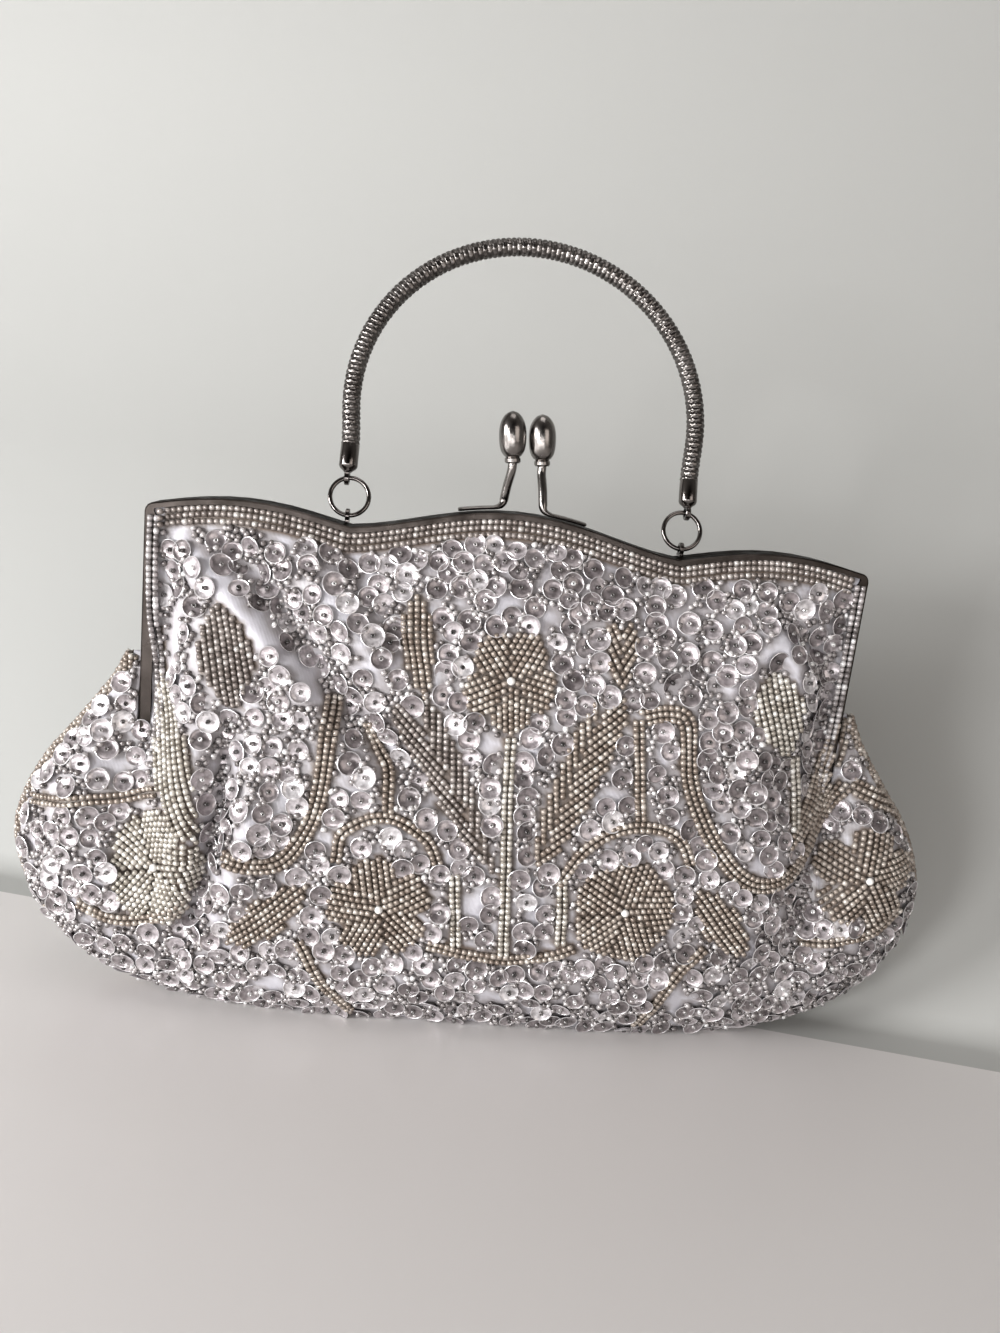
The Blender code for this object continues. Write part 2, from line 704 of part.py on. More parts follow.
def ring_columns():
    """Columns round the pouch, as shares of its reach, with the side that each is on."""
    turns = [math.pi * step / BACK_STEPS for step in range(BACK_STEPS + 1)]
    found = [(math.cos(turn), BACK) for turn in turns]
    found += [(-share, FRONT) for share in reversed(FRONT_COLUMN_SHARES)]
    found += [(0.0, FRONT)] + [(share, FRONT) for share in FRONT_COLUMN_SHARES]
    return found


def pillow(inset, levels, lift):
    """Rings of the pouch's form, inside its skin by inset, with the lowest one lifted."""
    rings = []
    for index, z in enumerate(levels):
        reach = half_width(z) - inset
        height = z if index else z + lift
        ring = []
        for share, side in ring_columns():
            x = reach * share
            ring.append((x, side * pouch_depth(x, z, inset, side), height))
        rings.append(ring)
    return rings


def hollow_levels():
    """Heights of the rings of the pouch's inner face."""
    high = LOBE_TOP_HEIGHT - POUCH_WALL
    return [POUCH_WALL + share * (high - POUCH_WALL) for share in LEVEL_SHARES]


def mouth_cutter(name, finish, parent):
    """Everything above the pouch's rim, between the lobes."""
    side = lobe_inner_x()
    outline = [(side, LOBE_TOP_HEIGHT + OVERRUN)]
    for step in range(RIM_STEPS + 1):
        x = side * (1.0 - 2.0 * step / RIM_STEPS)
        held = min(abs(x), FRAME_HALF_WIDTH - CLOTH_EDGE_BELOW)
        outline.append((x, HINGE_HEIGHT - rim_drop(held)))
    outline.append((-side, LOBE_TOP_HEIGHT + OVERRUN))
    reach = BELLY_HALF_DEPTH + OVERRUN
    points, faces = loft([[(x, y, z) for x, z in outline] for y in (-reach, reach)])
    return solid(name, points, faces, finish, parent, smooth=False)


def lobe_inner_x():
    """Where each lobe's inner wall stands, clear of the rivet's head."""
    return FRAME_HALF_WIDTH + RIVET_HEAD + 2.0 * CLEARANCE + EAR_INSET


def block(name, low, high, finish, parent):
    """Box between two corners."""
    corners = ((low[0], low[1]), (high[0], low[1]), (high[0], high[1]), (low[0], high[1]))
    points, faces = loft([[(x, y, z) for x, y in corners] for z in (low[2], high[2])])
    return solid(name, points, faces, finish, parent, smooth=False)


def pouch_half(name, side, finish, parent):
    """Lower cloth of one side: half of the hollow pouch, with half of each lobe."""
    levels = [share * LOBE_TOP_HEIGHT for share in LEVEL_SHARES]
    points, faces = loft(pillow(0.0, levels, 0.0))
    shell = solid(name, points, faces, finish, parent)
    seam = SEAM_Y + side * HALF_SHARE * CLEARANCE
    beyond = side * (BELLY_HALF_DEPTH + OVERRUN)
    reach = FRAME_HALF_WIDTH + LOBE_REACH + OVERRUN
    this_half = block(
        f"{name}_this_half", (-reach, min(seam, beyond), -OVERRUN),
        (reach, max(seam, beyond), LOBE_TOP_HEIGHT + OVERRUN), finish, parent,
    )
    boolean(shell, this_half, "INTERSECT")
    boolean(shell, mouth_cutter(f"{name}_mouth", finish, parent), "DIFFERENCE")
    points, faces = loft(pillow(POUCH_WALL, hollow_levels(), 0.0))
    hollow = solid(f"{name}_hollow", points, faces, finish, parent)
    wall_low = HINGE_HEIGHT - rim_drop(FRAME_HALF_WIDTH - CLOTH_EDGE_BELOW) - 2.0 * POUCH_WALL
    for end, word in ((LEFT, "left"), (RIGHT, "right")):
        inner_x = end * (lobe_inner_x() - CLEARANCE)
        outer_x = end * (lobe_inner_x() + POUCH_WALL)
        keep = block(
            f"{name}_lobe_wall_{word}",
            (min(inner_x, outer_x), -BELLY_HALF_DEPTH, wall_low),
            (max(inner_x, outer_x), BELLY_HALF_DEPTH, LOBE_TOP_HEIGHT), finish, parent,
        )
        boolean(hollow, keep, "DIFFERENCE")
    boolean(shell, hollow, "DIFFERENCE")
    return shell


def pouch_lining(finish, parent):
    """Lining tub that lies inside both pouch halves, below the sweep of the hems."""
    outside = POUCH_WALL + LINING_CLEARANCE
    inside = outside + LINING_WALL
    levels = []
    for index, level in enumerate(hollow_levels()):
        fine = level > FOLD_FADE or index % LINING_LEVEL_STRIDE == 0
        if fine and level < HINGE_HEIGHT - LINING_RIM_DROP:
            levels.append(level)
    rings = pillow(outside, levels, LINING_CLEARANCE)
    rings += reversed(pillow(inside, levels, LINING_CLEARANCE + LINING_WALL))
    points, faces = loft(rings)
    return solid("pouch_lining", points, faces, finish, parent)


def seam_piping(name, end, finish, parent):
    """Corded edge along the side seam, from beside the frame down to the base."""
    heights = OUTLINE_CURVE[:, 0] * LOBE_TOP_HEIGHT
    line = np.stack([[half_width(z) for z in heights], heights], axis=1)
    tangent = np.gradient(line, axis=0)
    tangent /= np.linalg.norm(tangent, axis=1)[:, None]
    normal = np.stack([tangent[:, 1], -tangent[:, 0]], axis=1)
    offset = line + normal * (PIPING_RADIUS + CLEARANCE)
    keep = (offset[:, 1] > PIPING_RADIUS + CLEARANCE) & (line[:, 1] < LOBE_TOP_HEIGHT - POUCH_WALL)
    chosen = offset[keep][::PIPING_STRIDE]
    directions = tangent[keep][::PIPING_STRIDE]
    sections = []
    for (x, z), (tx, tz) in zip(chosen, directions):
        ring = []
        for a, b in arc_points(PIPING_RADIUS, 0.0, 2.0 * math.pi, PIPING_SIDES + 1)[:-1]:
            ring.append((end * (x + a * tz), b, z - a * tx))
        sections.append(ring)
    points, faces = loft(sections)
    return solid(name, points, faces, finish, parent)


# Clasp

def knob_base(side):
    """Centre of a knob's lower end: the front half's knob is on the right."""
    x = -KNOB_X
    if side == FRONT:
        x = KNOB_X + KNOB_LENGTH * math.sin(KNOB_LEAN)
    return Vector((x, -side * KNOB_CROSS, HINGE_HEIGHT + FRAME_CREST_RISE + KNOB_BASE_RISE))


def knob_axis():
    """Direction in which both knobs lean."""
    return Vector((-math.sin(KNOB_LEAN), 0.0, math.cos(KNOB_LEAN)))


def clasp_knob(name, side, finish, parent):
    """Egg-shaped knob with a collar and a socket for its stem."""
    socket = STEM_RADIUS + CLEARANCE
    profile = [(KNOB_SOCKET_DEPTH, SOCKET_END_SHARE * socket), (KNOB_SOCKET_DEPTH, socket)]
    profile += [(0.0, socket), (0.0, COLLAR_EDGE_SHARE * COLLAR_RADIUS)]
    profile += [(along * KNOB_LENGTH, radius * COLLAR_RADIUS) for along, radius in COLLAR_SHARES]
    profile += [(along * KNOB_LENGTH, radius * KNOB_RADIUS) for along, radius in KNOB_SHARES]
    points, faces = turned(profile, knob_base(side), knob_axis(), ROUND_STEPS)
    return solid(name, points, faces, finish, parent)


def knob_post(name, side, finish, parent):
    """Wire post: a flattened foot along the frame's top, bent up into a round stem."""
    base = knob_base(side)
    away = LEFT if side == BACK else RIGHT
    bend_x = base.x + away * HALF_SHARE * STEM_BEND
    middle = side * CHANNEL_MIDDLE
    rise = FOOT_HALF_HEIGHT + CLEARANCE
    stations = []
    for share in FOOT_SHARES:
        x = bend_x + away * (STEM_BEND + share * (FOOT_LENGTH - STEM_BEND))
        place = Vector((x, middle, top_edge(x) + rise))
        stations.append((place, FOOT_HALF_WIDTH, FOOT_HALF_HEIGHT))
    corner = Vector((bend_x + away * STEM_BEND, middle, top_edge(bend_x) + rise + STEM_BEND))
    for share in BEND_SHARES:
        turn = 0.5 * math.pi * share
        place = corner + Vector((-away * STEM_BEND * math.sin(turn), 0.0, -STEM_BEND * math.cos(turn)))
        wide = FOOT_HALF_WIDTH + (STEM_RADIUS - FOOT_HALF_WIDTH) * share
        high = FOOT_HALF_HEIGHT + (STEM_RADIUS - FOOT_HALF_HEIGHT) * share
        stations.append((place, wide, high))
    first = stations[-1][0]
    end = base + knob_axis() * (KNOB_SOCKET_DEPTH - CLEARANCE)
    for sideways, upward in STEM_SHARES:
        x = first.x + (base.x - first.x) * sideways
        y = first.y + (base.y - first.y) * sideways
        place = Vector((x, y, first.z + (base.z - first.z) * upward))
        stations.append((place, STEM_RADIUS, STEM_RADIUS))
    stations.append((base, STEM_RADIUS, STEM_RADIUS))
    stations.append((end, STEM_RADIUS, STEM_RADIUS))
    sections = []
    for index, (place, wide, high) in enumerate(stations):
        before = stations[max(index - 1, 0)][0]
        after = stations[min(index + 1, len(stations) - 1)][0]
        tangent = (after - before).normalized()
        across = (Vector((0.0, 1.0, 0.0)) - tangent * tangent.y).normalized()
        up = tangent.cross(across)
        ring = []
        for a, b in arc_points(1.0, 0.0, 2.0 * math.pi, CHAIN_SIDES + 1)[:-1]:
            ring.append(place + across * (a * wide) + up * (b * high))
        sections.append(ring)
    points, faces = loft(sections)
    return solid(name, points, faces, finish, parent)


# Rings and handle

def ring_pivot():
    """Y and Z of the line through both eyes."""
    z = top_edge(RING_X) + CLEARANCE + EYE_RADIUS
    return CHANNEL_MIDDLE, z


def handle_pivot():
    """Y and Z of the line through the tops of both rings."""
    y, z = ring_pivot()
    reach = 2.0 * RING_RADIUS
    return y + reach * math.sin(HANDLE_LEAN), z + reach * math.cos(HANDLE_LEAN)


def on_handle(x, rise):
    """Point of the handle's leaning plane, at rise above the ring tops."""
    y, z = handle_pivot()
    return Vector((x, y + rise * math.sin(HANDLE_LEAN), z + rise * math.cos(HANDLE_LEAN)))


def ring_eye(name, end, finish, parent):
    """Small lug on the back half that a ring hangs in."""
    y, z = ring_pivot()
    foot = top_edge(RING_X) + CLEARANCE
    outline = [(y + EYE_RADIUS, foot)]
    outline += [(y + a, z + b) for a, b in arc_points(EYE_RADIUS, 0.0, math.pi, ROUND_STEPS)]
    outline.append((y - EYE_RADIUS, foot))
    middle = end * RING_X
    points, faces = plate(outline, middle - 0.5 * EYE_SHEET, middle + 0.5 * EYE_SHEET)
    lug = solid(name, points, faces, finish, parent)
    hole = turned(
        ((-EYE_SHEET, EYE_HOLE_RADIUS), (EYE_SHEET, EYE_HOLE_RADIUS)),
        (middle, y, z), (1.0, 0.0, 0.0), ROUND_STEPS,
    )
    boolean(lug, solid(f"{name}_hole", *hole, finish, parent), "DIFFERENCE")
    return lug


def wire_ring(name, end, finish, parent):
    """Round wire ring that stands in its eye, leaning with the handle."""
    y, z = ring_pivot()
    up = Vector((0.0, math.sin(HANDLE_LEAN), math.cos(HANDLE_LEAN)))
    across = Vector((1.0, 0.0, 0.0))
    facing = up.cross(across)
    centre = Vector((end * RING_X, y, z)) + up * RING_RADIUS
    sections = []
    for step in range(RING_STEPS):
        turn = 2.0 * math.pi * step / RING_STEPS
        out = across * math.cos(turn) + up * math.sin(turn)
        ring = []
        for a, b in arc_points(RING_WIRE_RADIUS, 0.0, 2.0 * math.pi, RING_SIDES + 1)[:-1]:
            ring.append(centre + out * (RING_RADIUS + a) + facing * b)
        sections.append(ring)
    points, faces = loft(sections, closed=True)
    return solid(name, points, faces, finish, parent)


def handle_cap(name, end, finish, parent):
    """End cap: a sleeve round the chain's end with an eye that holds the ring."""
    up = Vector((0.0, math.sin(HANDLE_LEAN), math.cos(HANDLE_LEAN)))
    foot = on_handle(end * LEG_X, 0.0)
    top = SLEEVE_START + SLEEVE_LENGTH
    socket = CHAIN_STUB_RADIUS + CLEARANCE
    edge = SLEEVE_EDGE_SHARE * SLEEVE_TAPER
    socket_end = top - SLEEVE_SOCKET_DEPTH
    profile = (
        (SLEEVE_START, SLEEVE_NECK_RADIUS), (SLEEVE_START + SLEEVE_TAPER, SLEEVE_RADIUS),
        (top - edge, SLEEVE_RADIUS), (top, SLEEVE_RADIUS - edge), (top, socket),
        (socket_end, socket), (socket_end, SOCKET_END_SHARE * socket),
    )
    points, faces = turned(profile, foot, up, ROUND_STEPS)
    cap = solid(name, points, faces, finish, parent)
    loop = turned(
        ((-0.5 * CAP_EYE_SHEET, CAP_EYE_RADIUS), (0.5 * CAP_EYE_SHEET, CAP_EYE_RADIUS)),
        foot, (1.0, 0.0, 0.0), ROUND_STEPS,
    )
    boolean(cap, solid(f"{name}_loop", *loop, finish, parent), "UNION")
    hole = turned(
        ((-CAP_EYE_SHEET, CAP_EYE_HOLE_RADIUS), (CAP_EYE_SHEET, CAP_EYE_HOLE_RADIUS)),
        foot, (1.0, 0.0, 0.0), ROUND_STEPS,
    )
    boolean(cap, solid(f"{name}_hole", *hole, finish, parent), "DIFFERENCE")
    return cap


def handle_line():
    """Centre line of the chain in the handle's plane, evenly spaced, left to right."""
    start = SLEEVE_START + SLEEVE_LENGTH + CLEARANCE
    reach = LEG_X + LEG_SPREAD
    half = []
    for share in np.linspace(0.0, 1.0, DENSE_STEPS):
        rise = start + share * (LEG_TOP_RISE - start)
        half.append((-LEG_X - LEG_SPREAD * smooth_step(share), rise))
    for turn in np.linspace(0.0, 0.5 * math.pi, 4 * DENSE_STEPS)[1:]:
        half.append((-reach * math.cos(turn), LEG_TOP_RISE + ARCH_HEIGHT * math.sin(turn)))
    dense = np.array(half + [(-x, rise) for x, rise in reversed(half[:-1])])
    steps = np.linalg.norm(np.diff(dense, axis=0), axis=1)
    length = np.concatenate([[0.0], np.cumsum(steps)])
    count = 2 * round(length[-1] / CHAIN_RIB_PITCH) + 1
    even = np.linspace(0.0, length[-1], count)
    columns = [np.interp(even, length, dense[:, axis]) for axis in (0, 1)]
    return np.stack(columns, axis=1)


def handle_chain(finish, parent):
    """Snake chain: a ribbed sheath in one arch, with a plain stub in each sleeve."""
    line = [tuple(place) for place in handle_line()]
    grooved = CHAIN_RADIUS - CHAIN_GROOVE
    radii = [CHAIN_RADIUS if index % 2 else grooved for index in range(len(line))]
    stub = SLEEVE_SOCKET_DEPTH - CLEARANCE
    first, last = line[0], line[-1]
    places = [(first[0], first[1] - stub), first] + line + [last, (last[0], last[1] - stub)]
    sizes = [CHAIN_STUB_RADIUS] * 2 + radii + [CHAIN_STUB_RADIUS] * 2
    up = Vector((0.0, math.sin(HANDLE_LEAN), math.cos(HANDLE_LEAN)))
    normal = Vector((0.0, math.cos(HANDLE_LEAN), -math.sin(HANDLE_LEAN)))
    sections = []
    for index, (x, rise) in enumerate(places):
        if index < 3:
            tangent = up
        elif index > len(places) - 4:
            tangent = -up
        else:
            tangent = (on_handle(*places[index + 1]) - on_handle(*places[index - 1])).normalized()
        across = tangent.cross(normal)
        ring = []
        for a, b in arc_points(sizes[index], 0.0, 2.0 * math.pi, CHAIN_SIDES + 1)[:-1]:
            ring.append(on_handle(x, rise) + across * a + normal * b)
        sections.append(ring)
    points, faces = loft(sections)
    return solid("handle_chain", points, faces, finish, parent)


def main():
    """Build the whole bag."""
    for old in list(bpy.data.objects):
        bpy.data.objects.remove(old, do_unlink=True)
    nickel = material("polished_nickel", (0.62, 0.60, 0.58), 0.18, 1.0)
    cloth = material("beaded_satin", (0.72, 0.70, 0.70), 0.40, 0.0)
    trim = material("bead_trim", (0.60, 0.56, 0.50), 0.30, 0.0)
    lining = material("lining_satin", (0.80, 0.78, 0.79), 0.45, 0.0)
    paper = material("paper_cord", (0.72, 0.62, 0.46), 0.85, 0.0)

    pouch = pivot("pouch_pivot", (0.0, 0.0, 0.0))
    hinge = (0.0, 0.0, HINGE_HEIGHT)
    front = pivot("front_frame_pivot", hinge, pouch)
    back = pivot("back_frame_pivot", hinge, pouch)
    ring_left = pivot("ring_left_pivot", (-RING_X, *ring_pivot()), back)
    ring_right = pivot("ring_right_pivot", (RING_X, *ring_pivot()), back)
    handle = pivot("handle_pivot", (0.0, *handle_pivot()), ring_left)

    pouch_half("pouch_front", FRONT, cloth, pouch)
    pouch_half("pouch_back", BACK, cloth, pouch)
    pouch_lining(lining, pouch)
    seam_piping("seam_piping_left", LEFT, trim, pouch)
    seam_piping("seam_piping_right", RIGHT, trim, pouch)

    for word, side, body in (("front", FRONT, front), ("back", BACK, back)):
        frame_channel(f"{word}_frame_channel", side, nickel, body)
        channel_cord(f"{word}_channel_cord", side, paper, body)
        depth = front_cloth_depth if side == FRONT else cloth_depth
        panel_grid = FRONT_GRID if side == FRONT else BACK_GRID
        upper_cloth(f"{word}_panel", side, depth, CLOTH, panel_grid, cloth, body)
        upper_cloth(f"{word}_lining", side, lining_depth, LINING, LINING_GRID, lining, body)
        knob_post(f"{word}_knob_post", side, nickel, body)
        clasp_knob(f"{word}_knob", side, nickel, body)

    for word, end, body in (("left", LEFT, ring_left), ("right", RIGHT, ring_right)):
        hinge_rivet(f"hinge_rivet_{word}", end, nickel, front)
        ring_eye(f"ring_eye_{word}", end, nickel, back)
        wire_ring(f"ring_{word}", end, nickel, body)
        handle_cap(f"handle_cap_{word}", end, nickel, handle)
    handle_chain(nickel, handle)


main()
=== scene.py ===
import math
from itertools import product

import bmesh
import bpy
import numpy as np
from mathutils import Matrix, Vector
from mathutils.kdtree import KDTree


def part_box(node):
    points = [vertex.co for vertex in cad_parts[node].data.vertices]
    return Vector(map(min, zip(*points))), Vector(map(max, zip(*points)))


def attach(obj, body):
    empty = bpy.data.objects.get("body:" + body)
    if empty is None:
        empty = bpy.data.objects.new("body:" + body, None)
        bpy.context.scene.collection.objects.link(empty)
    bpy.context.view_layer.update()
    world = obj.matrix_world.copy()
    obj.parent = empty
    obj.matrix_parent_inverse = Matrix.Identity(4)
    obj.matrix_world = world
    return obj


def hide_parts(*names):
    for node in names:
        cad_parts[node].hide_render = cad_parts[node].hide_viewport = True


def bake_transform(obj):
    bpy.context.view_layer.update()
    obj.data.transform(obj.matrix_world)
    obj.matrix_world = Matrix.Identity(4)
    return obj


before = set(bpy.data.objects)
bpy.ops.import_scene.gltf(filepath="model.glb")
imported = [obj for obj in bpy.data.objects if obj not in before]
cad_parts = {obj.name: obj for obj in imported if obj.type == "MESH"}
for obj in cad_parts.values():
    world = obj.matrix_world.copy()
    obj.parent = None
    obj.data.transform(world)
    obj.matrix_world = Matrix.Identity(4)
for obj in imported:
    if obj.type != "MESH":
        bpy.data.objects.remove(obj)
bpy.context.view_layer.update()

FRONT, BACK = -1, 1
LEFT, RIGHT = -1, 1
MM = 0.001

# Sizes taken from the frame
RIVET_LOW, RIVET_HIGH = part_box("hinge_rivet_left")
CHANNEL_LOW, CHANNEL_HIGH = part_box("front_frame_channel")
HINGE = 0.5 * (RIVET_LOW.z + RIVET_HIGH.z)
HALF_WIDTH = CHANNEL_HIGH.x
CREST = CHANNEL_HIGH.z
CHANNEL_FAR = -CHANNEL_LOW.y
LOBE_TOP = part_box("pouch_front")[1].z
LOBE_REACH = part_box("pouch_front")[1].x - HALF_WIDTH
BELLY = -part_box("pouch_front")[0].y

# Frame halves
LIP_ON_TOP = 1.6 * MM
LIP_ON_SIDES = 3.2 * MM
CHANNEL_MIDDLE = 2.8 * MM
ROUNDING = 0.16 * MM
VALLEY_X = 46.5 * MM
VALLEY_DROP = 8.1 * MM
SHOULDER_X = 75.0 * MM
SHOULDER_RISE = 4.3 * MM
CREST_POWER_SHARE = 1.5

# Knobs and their posts
KNOB_RADIUS = 3.75 * MM
KNOB_LENGTH = 13.9 * MM
KNOB_RISE = 13.2 * MM
KNOB_X = 3.4 * MM
KNOB_LEAN = math.radians(6.0)
KNOB_CROSS = 0.6 * MM
KNOB_HOLE = 0.2 * MM
COLLAR_RADIUS = 2.2 * MM
STEM_RADIUS = 1.25 * MM
STEM_BEND = 2.2 * MM
STEM_IN_KNOB = 2.0
FOOT_LENGTH = 12.5 * MM
FOOT_HALF_WIDTH = 1.7 * MM
FOOT_HALF_HEIGHT = 0.6 * MM
SEAT_GAP = 0.3 * MM
COLLAR_SHARES = ((0.0, 0.85), (0.03, 1.0), (0.09, 1.0), (0.12, 0.86))
EGG_SHARES = (
    (0.15, 0.66), (0.23, 0.85), (0.35, 0.96), (0.50, 1.0), (0.64, 0.985), (0.77, 0.89),
    (0.88, 0.69), (0.96, 0.41), (1.0, 0.03),
)
STEM_SHARES = ((0.37, 0.38), (0.91, 0.77), (1.0, 0.93))
FOOT_SHARES = (
    (1.0, 0.55), (0.985, 0.85), (0.94, 1.0), (0.8, 1.0), (0.6, 1.0), (0.4, 1.0), (0.2, 1.0),
    (0.05, 1.0),
)

# Rings, sleeves and chain
RING_X = 47.2 * MM
RING_RADIUS = 5.35 * MM
RING_WIRE = 0.65 * MM
EYE_RADIUS = 1.9 * MM
EYE_PROFILE = [
    (along * MM, out * MM) for along, out in
    ((-0.60, 1.1), (-0.60, 1.7), (-0.42, 1.9), (0.42, 1.9), (0.60, 1.7), (0.60, 1.1))
]
LOOP_PROFILE = [
    (along * MM, out * MM) for along, out in
    ((-0.70, 1.3), (-0.70, 1.9), (-0.50, 2.1), (0.50, 2.1), (0.70, 1.9), (0.70, 1.3))
]
EYE_FOOT_HALF = 0.6 * MM
EYE_FOOT_HEIGHT = 0.7 * MM
HANDLE_LEAN = math.radians(20.0)
LEG_X = 48.4 * MM
LEG_SPREAD = 1.0 * MM
LEG_TOP = 24.5 * MM
ARCH_HEIGHT = 50.0 * MM
CHAIN_RADIUS = 2.45 * MM
CHAIN_GROOVE = 0.22 * MM
CHAIN_TUCK = 0.6 * MM
SCALE_RISE = 0.42 * MM
SCALE_PITCH = 1.47 * MM
SCALE_COLUMNS = 9
SCALE_SHARES = (0.0, 0.12, 0.35, 0.65, 0.88)
SLEEVE_START = 1.6 * MM
SLEEVE_LENGTH = 8.2 * MM
SLEEVE_RADIUS = 2.6 * MM
SLEEVE_NECK = 1.5 * MM

# Cloth
CLOTH_OUT = 4.35 * MM
CLOTH_EDGE = 1.3 * MM
CLOTH_THICK = 0.6 * MM
LOBE_THICK = 0.5 * MM
LINING_THICK = 0.4 * MM
HELD_DROP = 2.8 * MM
SIDE_HOLD = 3.4 * MM
SIDE_PULL = 12.0 * MM
SIDE_POWER = 3.0
RIM_STEP = 1.9 * MM
PUFF_POWER = 0.85
CREASE_WIDTH = 11.0 * MM
CREASE_LEAN = 12.0 * MM
CREASE_SHARE = 0.42
DENT_LOW, DENT_RISE, DENT_WIDTH = 58.0 * MM, 24.0 * MM, 8.0 * MM
DENT_SHARE = 0.36
PANEL_LOW, PANEL_RISE = 60.0 * MM, 38.0 * MM
BAR_X, BAR_FADE = 86.0 * MM, 12.0 * MM
LOBE_CROWN = 88.0 * MM
FOLD_START, FOLD_FADE = 4.0 * MM, 7.0 * MM
HINGE_FADE = 8.0 * MM
SEAM_FADE = 9.0 * MM
BASE_FADE = 14.0 * MM
RIPPLE = 0.25 * MM
HEM = HINGE - 2.0 * MM
LOBE_LOW = 3.2 * MM
EAR_HEIGHT, EAR_FADE, EAR_INSET = 8.0 * MM, 3.0 * MM, 2.2 * MM
BASE_LIFT = 0.2 * MM
SEAM_GAP = 0.3 * MM
SPLIT_X = 99.0 * MM
LOBE_INNER = 100.7 * MM
LINING_GAP = 2.2 * MM
LINING_NEAR = 1.3 * MM
OUTLINE_SHARES = (
    (0.00, -0.674), (0.02, -0.196), (0.06, 0.163), (0.12, 0.482), (0.20, 0.721),
    (0.30, 0.900), (0.44, 1.000), (0.56, 0.920), (0.67, 0.749), (0.76, 0.542),
    (0.84, 0.362), (0.91, 0.215), (0.97, 0.123), (1.00, 0.091),
)
DEPTH_SHARES = (
    (0.00, 0.56), (0.08, 0.75), (0.20, 0.90), (0.40, 0.985), (0.55, 1.00),
    (0.80, 0.97), (1.00, 0.93), (1.24, 0.86),
)

# Beads and sequins
EDGING_INSET = 4.4 * MM
BEAD_RADIUS = 0.83 * MM
BEAD_LENGTH = 1.62 * MM
BEAD_PITCH = 1.68 * MM
BEAD_FLOOR = 0.1 * MM
STRAND_PITCH = BEAD_PITCH * 1.04
SEQUIN_RADIUS = 3.1 * MM
SEQUIN_CUP = 0.62 * MM
SEQUIN_THICK = 0.12 * MM
SEQUIN_SPACING = 5.5 * MM
SEQUIN_TRIES = 16000
SEQUIN_BEAD_RADIUS = 0.74 * MM
SEQUIN_BEAD_RISE = 0.45 * MM
LOOSE_SPACING = 1.80 * MM
ROW_CLEARANCE = 2.7 * MM
LOOSE_CLEARANCE = 1.65 * MM
FRAME_CLEARANCE = 0.3 * MM
PEARL_RADIUS = 1.15 * MM
ROPE_RADIUS = 1.65 * MM
ROPE_STRANDS = 7

# Stage: the shelf's edge at x is at EDGE_Y less EDGE_SLOPE times x
EDGE_Y = 0.012
EDGE_SLOPE = 0.22
STAGE_REACH = 4.0
STAGE_DEPTH = 3.0
FOOT_FLAT = 0.010
FOOT_CURVE = 0.015
WALL_SLOPE = math.radians(46.0)
WALL_BEND = 0.15
WALL_CURVE = 0.25
WALL_TOP = 3.0
WALL_COLUMNS = (-4.0, -1.0, -0.5, -0.25, 0.0, 0.25, 0.5, 1.0, 4.0)

# Lamps: name, place, target, size, watts and colour
LAMPS = (
    ("key", (-0.90, -0.38, 0.27), (0.0, 0.0, 0.08), (0.28, 0.28), 9.4, (1.0, 1.0, 1.0)),
    ("side", (-0.62, -0.68, 0.20), (0.0, 0.0, 0.08), (0.20, 0.20), 4.2, (1.0, 1.0, 1.0)),
    ("fill", (0.60, -0.90, 0.35), (0.0, 0.0, 0.06), (0.6, 0.5), 1.9, (1.0, 0.92, 0.86)),
    ("low", (-0.20, -0.75, 0.07), (0.0, 0.0, 0.05), (0.8, 0.11), 1.9, (1.0, 0.99, 0.99)),
    ("top", (-0.05, -0.15, 1.1), (0.0, 0.0, 0.05), (0.6, 0.5), 1.7, (1.0, 0.97, 0.95)),
)

# Camera of the photograph, with the focal length and the long side in pixels
CAMERA_PLACE = (-23.96 * MM, -278.6 * MM, 168.73 * MM)
CAMERA_TURN = (-4.764, -12.78, -6.238)
FOCAL, LONG_SIDE, SENSOR = 1000.0, 1333.0, 36.0

random = np.random.default_rng(7)


def smooth(value):
    """0 below 0, 1 above 1, with level ends."""
    held = np.clip(value, 0.0, 1.0)
    return held * held * (3.0 - 2.0 * held)


def as_seen(x, side):
    """Distances across as the front's tables have them, mirrored on the back."""
    return -side * x


def curve_through(points, steps=12):
    """Catmull-Rom curve through a list of points."""
    table = np.array(points, dtype=float)
    padded = np.vstack([2 * table[0] - table[1], table, 2 * table[-1] - table[-2]])
    found = [table[0]]
    for index in range(1, len(padded) - 2):
        before, start, end, after = padded[index - 1:index + 3]
        for step in range(1, steps + 1):
            t = step / steps
            found.append(0.5 * (
                2 * start + (end - before) * t
                + (2 * before - 5 * start + 4 * end - after) * t ** 2
                + (3 * start - before - 3 * end + after) * t ** 3
            ))
    return np.array(found)


OUTLINE = curve_through(OUTLINE_SHARES)
DEPTHS = curve_through(DEPTH_SHARES)


def half_width(z):
    """Half width of the pouch's outline at height z."""
    return HALF_WIDTH + LOBE_REACH * np.interp(z / LOBE_TOP, OUTLINE[:, 0], OUTLINE[:, 1])


def middle_depth(z):
    """Half depth at the pouch's middle at height z."""
    return BELLY * np.interp(z / HINGE, DEPTHS[:, 0], DEPTHS[:, 1])


def top_edge(x):
    """Height of the frame's scalloped top edge at x."""
    away = np.abs(x)
    valley = CREST - VALLEY_DROP
    inner = np.clip(0.5 * np.pi * away / VALLEY_X, 0.0, 0.5 * np.pi)
    outer = 0.5 * np.pi * np.maximum(away - VALLEY_X, 0.0) / (SHOULDER_X - VALLEY_X)
    return valley + VALLEY_DROP * np.cos(inner) ** CREST_POWER_SHARE + SHOULDER_RISE * np.sin(outer)


